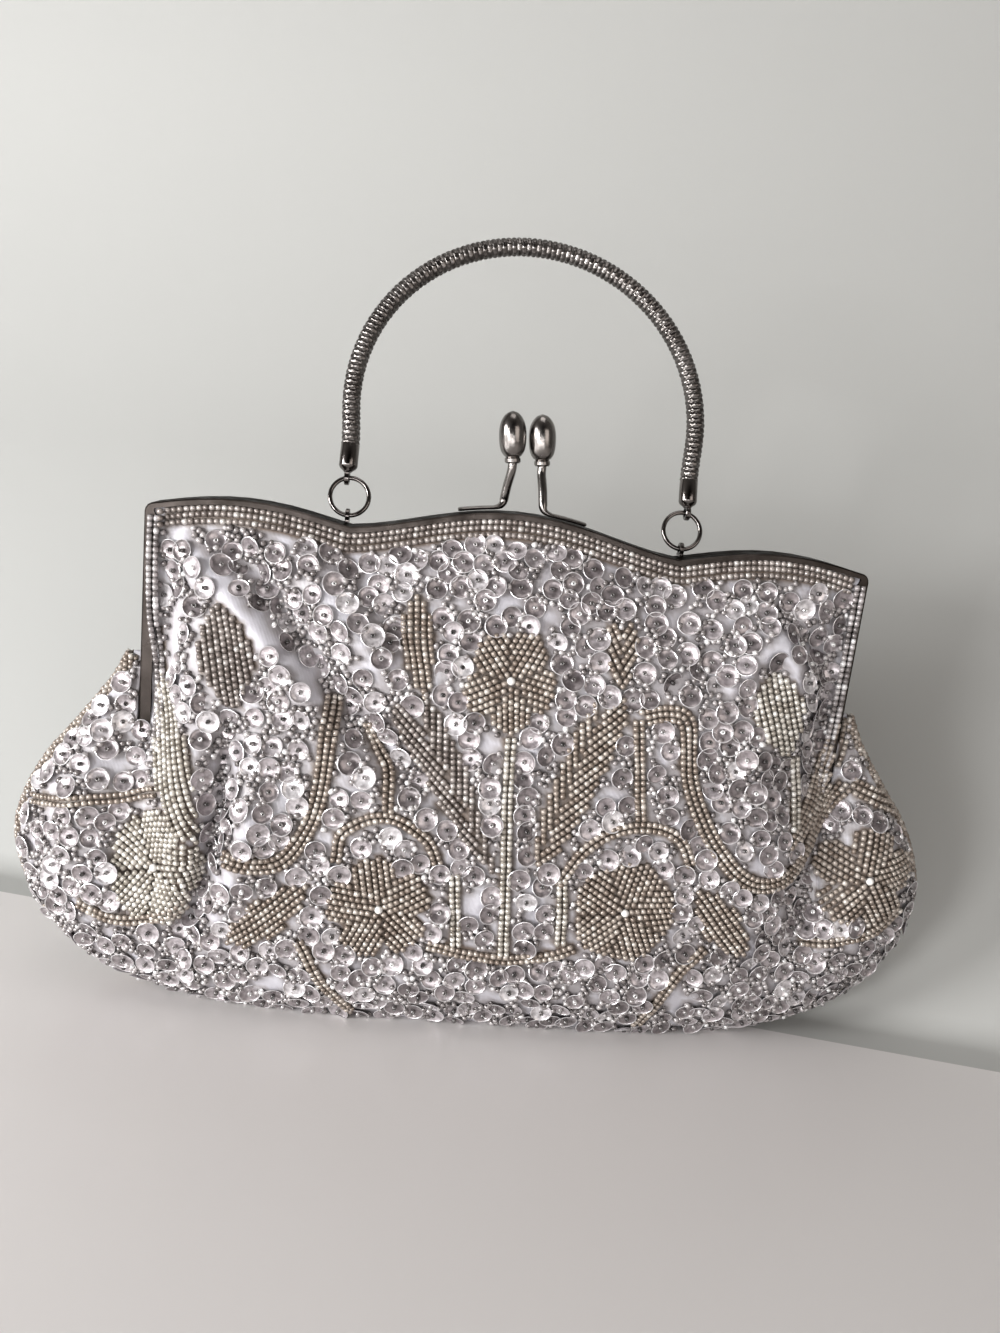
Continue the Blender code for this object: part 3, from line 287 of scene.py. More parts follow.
def pouch_depth(x, z):
    """Half depth of the unfolded pouch."""
    height = smooth(z / HINGE)
    centre = HALF_WIDTH - CREASE_LEAN * (1.0 - height)
    away = (np.abs(x) - centre) / CREASE_WIDTH
    crease = 1.0 - CREASE_SHARE * height * np.exp(-away * away)
    reach = np.clip(np.abs(x) / half_width(z), 0.0, 1.0)
    return middle_depth(z) * crease * np.sqrt(1.0 - reach ** SIDE_POWER)


def panel_depth(x, z):
    """Depth of the cloth that the frame carries."""
    held = top_edge(x) - HELD_DROP
    below = np.clip((held - z) / (held - HINGE), 0.0, 1.0)
    pull = smooth((np.abs(x) - HALF_WIDTH + SIDE_HOLD + SIDE_PULL) / SIDE_PULL)
    full = pouch_depth(x, np.full_like(x, HINGE)) - RIM_STEP
    hem = CLOTH_OUT + (full - CLOTH_OUT) * (1.0 - pull)
    return CLOTH_OUT + (hem - CLOTH_OUT) * np.sin(0.5 * np.pi * below ** PUFF_POWER)


# Folds of each side: points of a line in x and z, height of the fold and its half width, in mm
FRONT_FOLDS = (
    (((-72, 92), (-74, 82), (-75, 62), (-77, 48), (-80, 32), (-86, 20)), -8.0, 3.8),
    (((-82, 84), (-86, 64), (-88, 46)), 2.0, 7.0),
    (((-65, 84), (-65, 58), (-70, 36)), 3.2, 6.0),
    (((-88, 141), (-80, 136), (-67, 125), (-56, 111.5), (-46, 98), (-34, 86), (-20, 75.5),
      (-6, 63)), -4.6, 4.2),
    (((-94, 137), (-82, 126), (-70.5, 115), (-59, 104), (-52, 95), (-43, 84)), 2.8, 4.4),
    (((-62, 137), (-50, 125), (-40, 113), (-30, 102)), 3.0, 5.4),
    (((-44, 128), (-32, 117), (-24, 106)), -1.6, 4.0),
    (((60, 106), (66, 114), (72, 121), (76, 122.5), (81, 116), (85, 107)), 3.4, 4.2),
    (((72, 132), (80, 127), (88, 118.5), (97, 109)), -4.2, 4.2),
    (((92, 100), (84, 88), (80, 74)), -2.2, 5.0),
    (((70, 96), (72, 84), (76, 72)), 1.8, 5.0),
    (((102, 80), (99, 66), (95, 50), (94, 30)), -3.8, 4.8),
    (((30, 122), (44, 112), (56, 96)), 1.2, 5.0),
    (((-20, 60), (0, 54), (22, 60)), -0.9, 9.0),
    (((-108, 70), (-116, 58), (-118, 40)), 1.4, 6.0),
    (((-60, 22), (-30, 16), (0, 18), (40, 14), (74, 24)), 1.4, 6.0),
)


def segment_distance(x, z, line):
    """Distance of each point from a line, and where along it the nearest point lies."""
    line = np.array(line, dtype=float) * MM
    lengths = np.linalg.norm(np.diff(line, axis=0), axis=1)
    total = lengths.sum()
    best = np.full(np.shape(x), 1e9)
    along = np.zeros(np.shape(x))
    passed = 0.0
    for start, end, length in zip(line, line[1:], lengths):
        step = (end - start) / length
        t = np.clip((x - start[0]) * step[0] + (z - start[1]) * step[1], 0.0, length)
        gap = np.hypot(x - start[0] - step[0] * t, z - start[1] - step[1] * t)
        nearer = gap < best
        best = np.where(nearer, gap, best)
        along = np.where(nearer, (passed + t) / total, along)
        passed += length
    return best, along


def folds(x, z, side):
    """Extra depth from the folds of one side."""
    seen = as_seen(x, side)
    total = np.zeros(np.shape(x))
    for line, rise, wide in FRONT_FOLDS:
        away, along = segment_distance(seen, z, line)
        ends = np.sin(np.pi * np.clip(along, 0.02, 0.98)) ** 0.6
        total += rise * MM * ends * np.exp(-(away / (wide * MM)) ** 2)
    total += RIPPLE * np.sin(410.0 * seen + 190.0 * z) * np.sin(330.0 * z - 120.0 * seen)
    at_top = smooth((top_edge(x) - FOLD_START - z) / FOLD_FADE)
    at_side = smooth((HALF_WIDTH - FOLD_START - np.abs(x)) / FOLD_FADE)
    at_side = np.maximum(np.where(z > HINGE, at_side, 1.0), smooth((HINGE - z) / HINGE_FADE))
    on_lobe = smooth((half_width(z) - np.abs(x)) / SEAM_FADE)
    return total * at_top * np.where(np.abs(x) > SPLIT_X, on_lobe, at_side) * smooth(z / BASE_FADE)


def hinge_dent(x, z):
    """Share of the depth that stays where the cloth is drawn in round a hinge end."""
    away = (np.abs(x) - HALF_WIDTH) / DENT_WIDTH
    near = smooth((z - DENT_LOW) / DENT_RISE)
    return 1.0 - DENT_SHARE * near * np.exp(-away * away)


def skin_depth(x, z, side):
    """Distance of the cloth's outer face from the parting plane."""
    x, z = np.broadcast_arrays(np.asarray(x, dtype=float), np.asarray(z, dtype=float))
    low = pouch_depth(x, z) * hinge_dent(x, z)
    rise = smooth((z - PANEL_LOW) / PANEL_RISE)
    near_bar = smooth((np.abs(x) - BAR_X) / BAR_FADE) * smooth((HINGE + 2.0 * MM - z) / HINGE_FADE)
    rise = rise * (1.0 - near_bar)
    middle = low * (1.0 - rise) + panel_depth(x, z) * rise
    up = np.maximum(z - LOBE_CROWN, 0.0) / (LOBE_TOP - LOBE_CROWN)
    lobe = low * np.sqrt(np.clip(1.0 - up ** 2, 0.0, 1.0))
    depth = np.where(np.abs(x) > SPLIT_X, lobe, middle)
    return np.maximum(depth + folds(x, z, side), 0.0)


def skin_point(x, z, side):
    """Points of the cloth's outer face."""
    depth = skin_depth(x, z, side)
    x, z = np.broadcast_arrays(np.asarray(x, dtype=float), np.asarray(z, dtype=float))
    return np.stack([x, side * depth, z], axis=-1)


def skin_normal(x, z, side):
    """Outward unit normals of the cloth's outer face."""
    step = 0.4 * MM
    inward = np.where(np.asarray(x) > 0, -step, step)
    slope_x = (skin_point(x + inward, z, side) - skin_point(x, z, side)) / inward[..., None]
    slope_z = (skin_point(x, z + step, side) - skin_point(x, z - step, side)) / (2 * step)
    normal = np.cross(slope_x, slope_z)
    normal *= np.sign(normal[..., 1] * side)[..., None]
    return unit(normal)


# Helpers for lines and axes

def unit(v):
    """Vectors of length 1."""
    return v / np.maximum(np.linalg.norm(v, axis=-1)[..., None], 1e-12)


def lengths_along(line):
    """Length along a line at each of its points."""
    steps = np.linalg.norm(np.diff(line, axis=0), axis=1)
    return np.concatenate([[0.0], np.cumsum(steps)])


def at_lengths(line, length, at):
    """Points of a flat line at the given lengths along it."""
    return np.stack([np.interp(at, length, line[:, k]) for k in (0, 1)], axis=-1)


def beside(line):
    """Unit normals of a flat line."""
    tangent = unit(np.gradient(line, axis=0))
    return np.stack([-tangent[:, 1], tangent[:, 0]], axis=1)


def laid(v, normal):
    """Unit vectors along v in the planes that have these normals."""
    return unit(v - normal * np.sum(v * normal, axis=1)[:, None])


def axes_of(along, normal):
    """Rows of X, Y and Z directions with X along and Z normal."""
    return np.stack([along, np.cross(normal, along), normal], axis=1)


def tree_of(points):
    """Search tree of points."""
    tree = KDTree(len(points))
    for index, place in enumerate(points):
        tree.insert(place, index)
    tree.balance()
    return tree


# Mesh helpers

def make(name, points, faces, finish, smooth_shading=True, sharp=None):
    """Mesh object in the row frame."""
    mesh = bpy.data.meshes.new(name)
    mesh.from_pydata([tuple(p) for p in points], [], [tuple(f) for f in faces])
    mesh.update()
    if smooth_shading:
        mesh.shade_smooth()
        if sharp is not None:
            mesh.set_sharp_from_angle(angle=math.radians(sharp))
    mesh.materials.append(finish)
    made = bpy.data.objects.new(name, mesh)
    bpy.context.collection.objects.link(made)
    return made


def grid_faces(rows, columns):
    """Quads of a grid of points."""
    faces = []
    for row in range(rows - 1):
        for column in range(columns - 1):
            a = row * columns + column
            faces.append((a, a + 1, a + columns + 1, a + columns))
    return faces


def cloth_sheet(grid, normals, thick):
    """Points and faces of a thin closed sheet from a grid of points."""
    rows, columns = grid.shape[:2]
    outer = grid.reshape(-1, 3)
    inner = (grid - normals * thick).reshape(-1, 3)
    inner[:, 2] = np.maximum(inner[:, 2], outer[:, 2].min() + 0.8 * thick)
    points = np.concatenate([outer, inner])
    faces = grid_faces(rows, columns)
    shift = rows * columns
    faces += [tuple(shift + i for i in reversed(face)) for face in faces]
    border = [(0, c) for c in range(columns)] + [(r, columns - 1) for r in range(1, rows)]
    border += [(rows - 1, c) for c in range(columns - 2, -1, -1)]
    border += [(r, 0) for r in range(rows - 2, 0, -1)]
    loop = [r * columns + c for r, c in border]
    for here, there in zip(loop, loop[1:] + loop[:1]):
        faces.append((there, here, shift + here, shift + there))
    return points, faces


def grid_normals(grid, side):
    """Normals of a grid of points, pointing out of one side."""
    normal = unit(np.cross(np.gradient(grid, axis=1), np.gradient(grid, axis=0)))
    return normal * np.where(normal[..., 1:2] * side < 0.0, -1.0, 1.0)


def loft(sections, closed=False):
    """Points and faces of a tube through rings of equal length."""
    count = len(sections[0])
    points = [p for ring in sections for p in ring]
    faces = []
    last = len(sections) if closed else len(sections) - 1
    for row in range(last):
        here = row * count
        there = (row + 1) % len(sections) * count
        for column in range(count):
            after = (column + 1) % count
            faces.append((here + column, here + after, there + after, there + column))
    if not closed:
        faces.append(tuple(reversed(range(count))))
        faces.append(tuple(range(len(points) - count, len(points))))
    return points, faces


def turned(profile, centre, direction, steps, closed=False):
    """Points and faces of a profile of (along, radius) turned about a direction."""
    along_axis = Vector(direction).normalized()
    across = along_axis.orthogonal().normalized()
    upward = along_axis.cross(across)
    rings = []
    for along, radius in profile:
        ring = []
        for step in range(steps):
            turn = 2.0 * math.pi * step / steps
            offset = across * math.cos(turn) + upward * math.sin(turn)
            ring.append(Vector(centre) + along_axis * along + offset * radius)
        rings.append(ring)
    return loft(rings, closed)


def facing_out(piece):
    """Turn a piece's faces outwards."""
    work = bmesh.new()
    work.from_mesh(piece.data)
    bmesh.ops.recalc_face_normals(work, faces=work.faces)
    work.to_mesh(piece.data)
    work.free()
    return piece


def merged(parts):
    """Points and faces of several parts as one."""
    points, faces = [], []
    for part_points, part_faces in parts:
        shift = len(points)
        points += [tuple(p) for p in part_points]
        faces += [tuple(shift + i for i in face) for face in part_faces]
    return points, faces


def copies(template, places, axes, scales):
    """Points and faces of many copies of a template, none of it below the floor."""
    points, faces = template
    moved = np.einsum("pj,njk->npk", points, axes) * scales[:, None, None] + places[:, None, :]
    shifts = np.arange(len(places)) * len(points)
    all_faces = faces[None, :, :] + shifts[:, None, None]
    moved = moved.reshape(-1, 3)
    moved[:, 2] = np.maximum(moved[:, 2], BEAD_FLOOR)
    return moved, all_faces.reshape(-1, faces.shape[1])


# Materials

def new_material(name, **inputs):
    """Material, its node tree and its shader, with inputs set by name, _ for a space."""
    made = bpy.data.materials.new(name)
    made.use_nodes = True
    tree = made.node_tree
    shader = tree.nodes["Principled BSDF"]
    for key, value in inputs.items():
        shader.inputs[key.replace("_", " ")].default_value = value
    return made, tree, shader


def ramp(tree, source, stops):
    """Colour ramp fed by a value."""
    node = tree.nodes.new("ShaderNodeValToRGB")
    while len(node.color_ramp.elements) < len(stops):
        node.color_ramp.elements.new(0.5)
    for element, (place, colour) in zip(node.color_ramp.elements, stops):
        element.position = place
        element.color = (*colour, 1.0)
    tree.links.new(source, node.inputs["Fac"])
    return node.outputs["Color"]


def texture(tree, kind, **inputs):
    """Value of a texture in the row frame."""
    place = tree.nodes.new("ShaderNodeTexCoord")
    node = tree.nodes.new("ShaderNodeTex" + kind)
    for key, value in inputs.items():
        node.inputs[key].default_value = value
    tree.links.new(place.outputs["Object"], node.inputs["Vector"])
    return node.outputs["Fac"]


def noise(tree, scale, detail, roughness=0.5):
    """Noise in the row frame."""
    return texture(tree, "Noise", Scale=scale, Detail=detail, Roughness=roughness)


def bump(tree, shader, height, distance, strength):
    """Bump from a height value."""
    node = tree.nodes.new("ShaderNodeBump")
    node.inputs["Distance"].default_value = distance
    node.inputs["Strength"].default_value = strength
    tree.links.new(height, node.inputs["Height"])
    tree.links.new(node.outputs["Normal"], shader.inputs["Normal"])


def attribute(tree, name):
    """Value of a point attribute."""
    node = tree.nodes.new("ShaderNodeAttribute")
    node.attribute_name = name
    return node.outputs["Fac"]


def mixed(tree, share, first, second, blend="MIX"):
    """Mix of two colours by a share, each of them a value or another node's output."""
    mix = tree.nodes.new("ShaderNodeMix")
    mix.data_type = "RGBA"
    mix.blend_type = blend
    for key, value in (("Factor", share), ("A", first), ("B", second)):
        if isinstance(value, bpy.types.NodeSocket):
            tree.links.new(value, mix.inputs[key])
        else:
            mix.inputs[key].default_value = value
    return mix.outputs["Result"]


def satin_material(name, dark, light, sheen, under=None):
    """Satin with a fine weave and soft creasing, with painted shade under the beads if asked."""
    made, tree, shader = new_material(
        name, Roughness=0.34, Sheen_Weight=sheen, Sheen_Roughness=0.4
    )
    tone = ramp(tree, noise(tree, 90.0, 4.0), ((0.3, dark), (0.7, light)))
    if under:
        # Painted shade: the cloth's colour is pulled towards a dark brown where beads and sequins lie
        # on it
        tone = mixed(tree, attribute(tree, "painted_shade_beneath_beads"), tone, (*under, 1.0))
    tree.links.new(tone, shader.inputs["Base Color"])
    add = tree.nodes.new("ShaderNodeMath")
    add.operation = "MULTIPLY_ADD"
    add.inputs[1].default_value = 0.12
    tree.links.new(texture(tree, "Wave", Scale=900.0, Distortion=0.6), add.inputs[0])
    tree.links.new(noise(tree, 260.0, 5.0), add.inputs[2])
    bump(tree, shader, add.outputs[0], 0.0006, 0.5)
    return made


def nickel_material(name, dark, light, rough, edge=1.0):
    """Polished nickel with faint wear and fine scratches."""
    made, tree, shader = new_material(name, Metallic=1.0, Specular_Tint=(edge, edge, edge, 1.0))
    tone = noise(tree, 70.0, 6.0, 0.65)
    tree.links.new(ramp(tree, tone, ((0.35, dark), (0.65, light))), shader.inputs["Base Color"])
    wear = ((0.3, (rough,) * 3), (0.75, (rough * 1.9,) * 3))
    tree.links.new(ramp(tree, noise(tree, 220.0, 4.0), wear), shader.inputs["Roughness"])
    bump(tree, shader, noise(tree, 1400.0, 2.0), 0.0001, 0.25)
    return made


def by_island(tree, at, tones):
    """Tone that differs from one loose part of a mesh to the next."""
    place = tree.nodes.new("ShaderNodeNewGeometry")
    return ramp(tree, place.outputs["Random Per Island"], tuple(zip(at, tones)))


def bead_material(name, tones, metallic, rough, coat, at=(0.0, 0.45, 0.85, 1.0)):
    """Small shiny parts whose tone differs from one to the next."""
    made, tree, shader = new_material(
        name, Metallic=metallic, Roughness=rough, Coat_Weight=coat, Coat_Roughness=0.04
    )
    tree.links.new(by_island(tree, at, tones), shader.inputs["Base Color"])
    bump(tree, shader, noise(tree, 900.0, 2.0), 0.0001, 0.3)
    return made


def sequin_material(name, tones, painted_rim_highlight):
    """Thin clouded sequins with a painted highlight round the raised edge."""
    made, tree, shader = new_material(
        name, Metallic=0.45, Roughness=0.26, Coat_Weight=0.6, Coat_Roughness=0.06
    )
    clouds = ((0.36, (0.62, 0.60, 0.60)), (0.64, (1.25, 1.23, 1.23)))
    clouded = ramp(tree, noise(tree, 620.0, 2.0), clouds)
    plain = by_island(tree, (0.0, 0.4, 0.85, 1.0), tones)
    tone = mixed(tree, 1.0, plain, clouded, "MULTIPLY")
    # Painted highlight: the raised edge of each sequin is given a light colour
    tone = mixed(tree, attribute(tree, "painted_rim_highlight"), tone, (*painted_rim_highlight, 1.0))
    tree.links.new(tone, shader.inputs["Base Color"])
    bump(tree, shader, noise(tree, 700.0, 2.0), 0.0003, 0.35)
    return made


# The last colour of the pale satin is painted shade for the cloth under the beads and sequins
SATIN = satin_material(
    "pale_satin", (0.50, 0.485, 0.525), (0.64, 0.63, 0.675), 0.1, (0.165, 0.128, 0.105)
)
LINING = satin_material("lining_satin_cloth", (0.60, 0.58, 0.61), (0.70, 0.68, 0.71), 0.2)
NICKEL = nickel_material("dark_nickel", (0.125, 0.112, 0.106), (0.215, 0.198, 0.190), 0.11)
CHANNEL = nickel_material(
    "channel_nickel", (0.030, 0.025, 0.022), (0.068, 0.058, 0.053), 0.26, 0.25
)
KNOB = nickel_material("knob_nickel", (0.17, 0.156, 0.148), (0.29, 0.272, 0.26), 0.15)
CHAIN = nickel_material("chain_nickel", (0.115, 0.104, 0.098), (0.20, 0.186, 0.178), 0.20)
GLASS = bead_material(
    "silver_lined_glass",
    ((0.21, 0.165, 0.134), (0.33, 0.277, 0.236), (0.44, 0.385, 0.338), (0.66, 0.61, 0.555)),
    0.35, 0.32, 0.55,
)
DEEP_GLASS = bead_material(
    "deep_glass",
    ((0.17, 0.142, 0.128), (0.28, 0.244, 0.224), (0.39, 0.35, 0.328), (0.60, 0.57, 0.54)),
    0.35, 0.32, 0.55,
)
PALE_GLASS = bead_material(
    "pale_glass",
    ((0.30, 0.265, 0.225), (0.48, 0.445, 0.395), (0.66, 0.625, 0.57), (0.92, 0.90, 0.86)),
    0.30, 0.26, 0.8,
)
MIST_GLASS = bead_material(
    "misty_glass",
    ((0.15, 0.133, 0.13), (0.34, 0.312, 0.31), (0.54, 0.51, 0.51), (0.90, 0.89, 0.89)),
    0.30, 0.26, 0.8,
)
CLEAR = bead_material(
    "clear_glass",
    ((0.035, 0.03, 0.03), (0.16, 0.148, 0.145), (0.42, 0.40, 0.40), (0.90, 0.90, 0.90)),
    0.40, 0.16, 0.9, at=(0.0, 0.5, 0.8, 1.0),
)
# The last colour is a painted highlight for the sequins' raised edges
FOIL = sequin_material(
    "silver_foil",
    ((0.20, 0.178, 0.183), (0.34, 0.308, 0.318), (0.50, 0.468, 0.485), (0.84, 0.83, 0.85)),
    (0.72, 0.70, 0.71),
)
PEARL = bead_material(
    "pearl_glass", ((0.80, 0.78, 0.75), (0.92, 0.91, 0.88)), 0.0, 0.2, 0.9, at=(0.0, 1.0)
)
PAPER = satin_material("paper_cord_twist", (0.60, 0.50, 0.36), (0.74, 0.64, 0.48), 0.1)


# Cloth

def bend(piece):
    """Bake a piece's world transform into its mesh."""
    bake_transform(piece)


def central_grid(side):
    """Grid of points of the middle cloth, from the channel down and under the base."""
    even = np.linspace(-1.0, 1.0, 150)
    columns = np.sin(np.linspace(-0.5, 0.5, 150) * np.pi) * 0.25 + even * 0.75
    inside = HALF_WIDTH - CLOTH_EDGE
    rows = []
    for share in np.linspace(0.0, 1.0, 108):
        top = top_edge(columns * min(inside, SPLIT_X)) - CLOTH_EDGE
        z = top * (1.0 - share) + BASE_LIFT * share
        above = smooth((z - HINGE - EAR_HEIGHT) / EAR_FADE)
        at_ear = smooth((z - HINGE + 1.0 * MM) / EAR_FADE) * (1.0 - above)
        limit = np.minimum(SPLIT_X, half_width(z) - SEAM_GAP)
        limit = limit * (1.0 - above) + inside * above - EAR_INSET * at_ear
        rows.append(skin_point(columns * limit, z, side))
    last = rows[-1]
    for share in (0.35, 0.7, 1.0):
        under = last.copy()
        under[:, 1] = last[:, 1] * (1.0 - share)
        under[:, 2] = BASE_LIFT
        rows.append(under)
    return np.array(rows)


def lobe_grid(side, end):
    """Grid of points of one half of a side lobe."""
    rows = []
    turn = np.linspace(0.0, 0.5 * np.pi, 26)
    for z in np.linspace(LOBE_LOW, LOBE_TOP - 0.4 * MM, 84):
        outer = float(half_width(z))
        inner = min(SPLIT_X if z < HEM else LOBE_INNER, outer - 0.2 * MM)
        x = inner + (outer - inner) * np.sin(turn)
        rows.append(skin_point(end * x, np.full_like(x, z), side))
    return np.array(rows)


def paint_shade_below_beads(piece, beads, scattered):
    """Painted shade: attribute that is 1 where the cloth lies under rows, less under scattered pieces.
    """
    trees = tree_of(beads), tree_of(scattered)
    gaps = np.array([[tree.find(v.co)[2] for tree in trees] for v in piece.data.vertices])
    # Painted shade fades with the distance from the nearest row bead or scattered piece
    painted_shade_row = 1.0 - smooth((gaps[:, 0] - 1.3 * MM) / (0.7 * MM))
    painted_shade_loose = 0.50 * (1.0 - smooth((gaps[:, 1] - 1.8 * MM) / (1.2 * MM)))
    mark = piece.data.attributes.new("painted_shade_beneath_beads", "FLOAT", "POINT")
    mark.data.foreach_set("value", np.maximum(painted_shade_row, painted_shade_loose))


def middle_cloth(word, side, beads, scattered):
    """The cloth of one side, from the pouch's base up to the frame."""
    grid = central_grid(side)
    points, faces = cloth_sheet(grid, grid_normals(grid, side), CLOTH_THICK)
    piece = facing_out(make(f"{word}_cloth", points, faces, SATIN))
    paint_shade_below_beads(piece, beads, scattered)
    bend(piece)
    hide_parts(f"pouch_{word}", f"{word}_panel")


def side_lobe(word, end, beads, scattered):
    """Both halves of a side lobe and the gusset between the frame's sides."""
    parts = []
    for side in (FRONT, BACK):
        grid = lobe_grid(side, end)
        parts.append(cloth_sheet(grid, grid_normals(grid, side), LOBE_THICK))
    rows = []
    for z in np.linspace(HINGE - 1.0 * MM, LOBE_TOP - 0.6 * MM, 14):
        depth = float(skin_depth(end * LOBE_INNER, z, FRONT)) - 0.3 * MM
        rows.append([(end * LOBE_INNER, y, z) for y in np.linspace(-depth, depth, 8)])
    gusset = np.array(rows)
    inward = np.zeros_like(gusset)
    inward[..., 0] = -end
    parts.append(cloth_sheet(gusset, inward, LINING_THICK))
    piece = facing_out(make(f"side_lobe_{word}", *merged(parts), SATIN))
    paint_shade_below_beads(piece, beads, scattered)
    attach(piece, "pouch")


def lining_cloth(word, side):
    """Lining of one side, inside the cloth."""
    grid = central_grid(side)
    flat = np.clip((top_edge(grid[..., 0]) - 6.0 * MM - grid[..., 2]) / (10.0 * MM), 0.0, 1.0)
    inset = LINING_GAP * (0.35 + 0.65 * flat)
    inner = grid - grid_normals(grid, side) * inset[..., None]
    most = np.maximum(np.abs(grid[..., 1]) - 1.2 * MM, LINING_NEAR)
    inner[..., 1] = side * np.maximum(np.minimum(np.abs(inner[..., 1]), most), LINING_NEAR)
    inner[..., 2] = np.maximum(inner[..., 2], LINING_GAP)
    inner = inner[2:]
    inner[..., 0] *= 0.985
    points, faces = cloth_sheet(inner, grid_normals(inner, side), LINING_THICK)
    piece = facing_out(make(f"{word}_lining_cloth", points, faces, LINING))
    bend(piece)
    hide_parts(f"{word}_lining")
    if side == FRONT:
        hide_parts("pouch_lining")


# Beads

def spun(profile, steps):
    """Points and quads of a closed profile of (along, out) turned about X."""
    count = len(profile)
    points = [
        (along, out * math.cos(turn), out * math.sin(turn))
        for turn in 2.0 * math.pi * np.arange(steps) / steps for along, out in profile
    ]
    step, index = np.divmod(np.arange(steps * count), count)
    here, there, after = step * count, (step + 1) % steps * count, (index + 1) % count
    faces = np.stack([here + index, here + after, there + after, there + index], axis=1)
    return np.array(points), faces


def bead_template(radius, length, steps):
    """Points and quads of a pierced bead along X."""
    shares = ((-0.40, 0.78), (0.0, 1.0), (0.40, 0.78), (0.30, 0.34), (-0.30, 0.34))
    return spun([(along * length * 1.2, out * radius) for along, out in shares], steps)


def sequin_template(steps=18):
    """Points, quads and painted edge highlight marks of a pierced cup sequin that faces +Z."""
    cup, thick = SEQUIN_CUP, SEQUIN_THICK
    shares = (
        (0.0, 0.17), (0.03 * cup, 0.46), (0.30 * cup, 0.72), (0.66 * cup, 0.89), (cup, 0.95),
        (0.86 * cup, 1.0), (0.66 * cup - thick, 0.89), (0.03 * cup - thick, 0.46), (-thick, 0.17),
    )
    points, faces = spun([(up, out * SEQUIN_RADIUS) for up, out in shares], steps)
    painted_rim_highlight = np.tile([1.0 if out >= 0.95 else 0.0 for _, out in shares], steps)
    return (points[:, [1, 2, 0]], faces[:, [0, 3, 2, 1]]), painted_rim_highlight


def even_points(line, side):
    """Evenly spaced x and z along a line on the cloth."""
    fine = []
    for a, b in zip(line[:-1], line[1:]):
        fine += [a + (b - a) * t for t in np.linspace(0.0, 1.0, 6)[:-1]]
    fine = np.array(fine + [line[-1]])
    length = lengths_along(skin_point(fine[:, 0], fine[:, 1], side))
    if length[-1] < BEAD_PITCH:
        return np.zeros((0, 2))
    return at_lengths(fine, length, np.arange(0.0, length[-1], BEAD_PITCH))


def row_beads(rows, side):
    """Places and axes of beads strung along rows of x and z points on the cloth."""
    places, axes = [], []
    for row in filter(len, rows):
        x, z = row[:, 0], row[:, 1]
        on = skin_point(x, z, side)
        normal = skin_normal(x, z, side)
        over_lip = (np.abs(x) > HALF_WIDTH - LIP_ON_SIDES - 1.3 * MM) & (np.abs(x) < HALF_WIDTH)
        over_lip &= z > HINGE - 4.0 * MM
        clear = side * np.maximum(np.abs(on[:, 1]), CHANNEL_FAR + 0.15 * MM)
        on[:, 1] = np.where(over_lip, clear, on[:, 1])
        normal[over_lip] = (0.0, side, 0.0)
        tangent = np.gradient(on, axis=0) if len(row) > 1 else np.array([[1.0, 0.0, 0.0]])
        places.append(on + normal * (BEAD_RADIUS * 0.92))
        axes.append(axes_of(laid(tangent, normal), normal))
    return np.concatenate(places), np.concatenate(axes)


def line_rows(points, side, strands):
    """Parallel strands of beads along a smooth line given in mm."""
    line = curve_through(np.array(points, dtype=float) * MM, 10)
    out = beside(line)
    rows = []
    for index in range(strands):
        offset = (index - 0.5 * (strands - 1)) * (BEAD_PITCH * 1.02)
        rows.append(even_points(line + out * offset, side))
    return rows


def flower_rows(centre, radius, side, turn, stretch):
    """Five petals of parallel rows that run out from a centre, in mm."""
    rows = []
    wedge = math.pi / PETALS
    wide = radius * math.sin(wedge)
    gap = BEAD_PITCH / MM * 1.03
    count = int(wide / gap)
    for petal in range(PETALS):
        angle = turn + 2.0 * math.pi * petal / PETALS
        along = np.array([math.cos(angle), math.sin(angle)])
        across = np.array([-math.sin(angle), math.cos(angle)])
        for index in range(-count, count + 1):
            offset = index * gap
            start = max(abs(offset) / math.tan(wedge) + 0.5, 2.1)
            reach = radius * (1.0 - 0.16 * abs(offset / wide) ** 2.4)
            end = math.sqrt(max(reach ** 2 - offset ** 2, 0.0))
            if end - start < 1.0:
                continue
            stops = (start, 0.5 * (start + end), end)
            line = np.array([centre + along * stop + across * offset for stop in stops])
            line[:, 0] = centre[0] + (line[:, 0] - centre[0]) * stretch
            rows.append(even_points(line * MM, side))
    return rows


def feather_rows(points, hands, side):
    """Herringbone of parallel rows that run out of a spine at fixed directions, in mm.

    Each hand is a direction in degrees with the rows' lengths along the spine.
    """
    spine = curve_through(points)
    length = lengths_along(spine)
    pitch = BEAD_PITCH / MM
    rows = []
    for angle, reaches in hands:
        out = np.array([math.cos(math.radians(angle)), math.sin(math.radians(angle))])
        shares = np.linspace(0.0, 1.0, len(reaches))
        at = 0.4 * pitch
        while at < length[-1] - 0.3:
            place = at_lengths(spine, length, at)
            ahead = at_lengths(spine, length, at + 1.0) - place
            if np.linalg.norm(ahead) < 0.1:
                break
            ahead /= np.linalg.norm(ahead)
            across = abs(ahead[0] * out[1] - ahead[1] * out[0])
            beads = int(np.interp(at / length[-1], shares, reaches) / pitch)
            if beads > 0:
                line = np.array([place + out * pitch * 0.75, place + out * pitch * (beads + 0.75)])
                rows.append(even_points(line * MM, side))
            at += 1.06 * pitch / max(across, 0.3)
    return rows


def bud_rows(points, wide, side):
    """Rows that run the length of a small leaf, in mm."""
    spine = curve_through(points)
    out = beside(spine)
    pitch = BEAD_PITCH / MM * 1.03
    strands = int(wide / pitch)
    width_here = wide * np.sin(np.pi * np.linspace(0.0, 1.0, len(spine))) ** 0.6
    rows = []
    for index in range(-strands, strands + 1):
        offset = index * pitch
        keep = width_here >= abs(offset) - 0.1
        if keep.sum() >= 3:
            rows.append(even_points((spine + out * offset)[keep] * MM, side))
    return rows


# Motifs of the front by group, in mm across and up from the origin
PETALS = 5
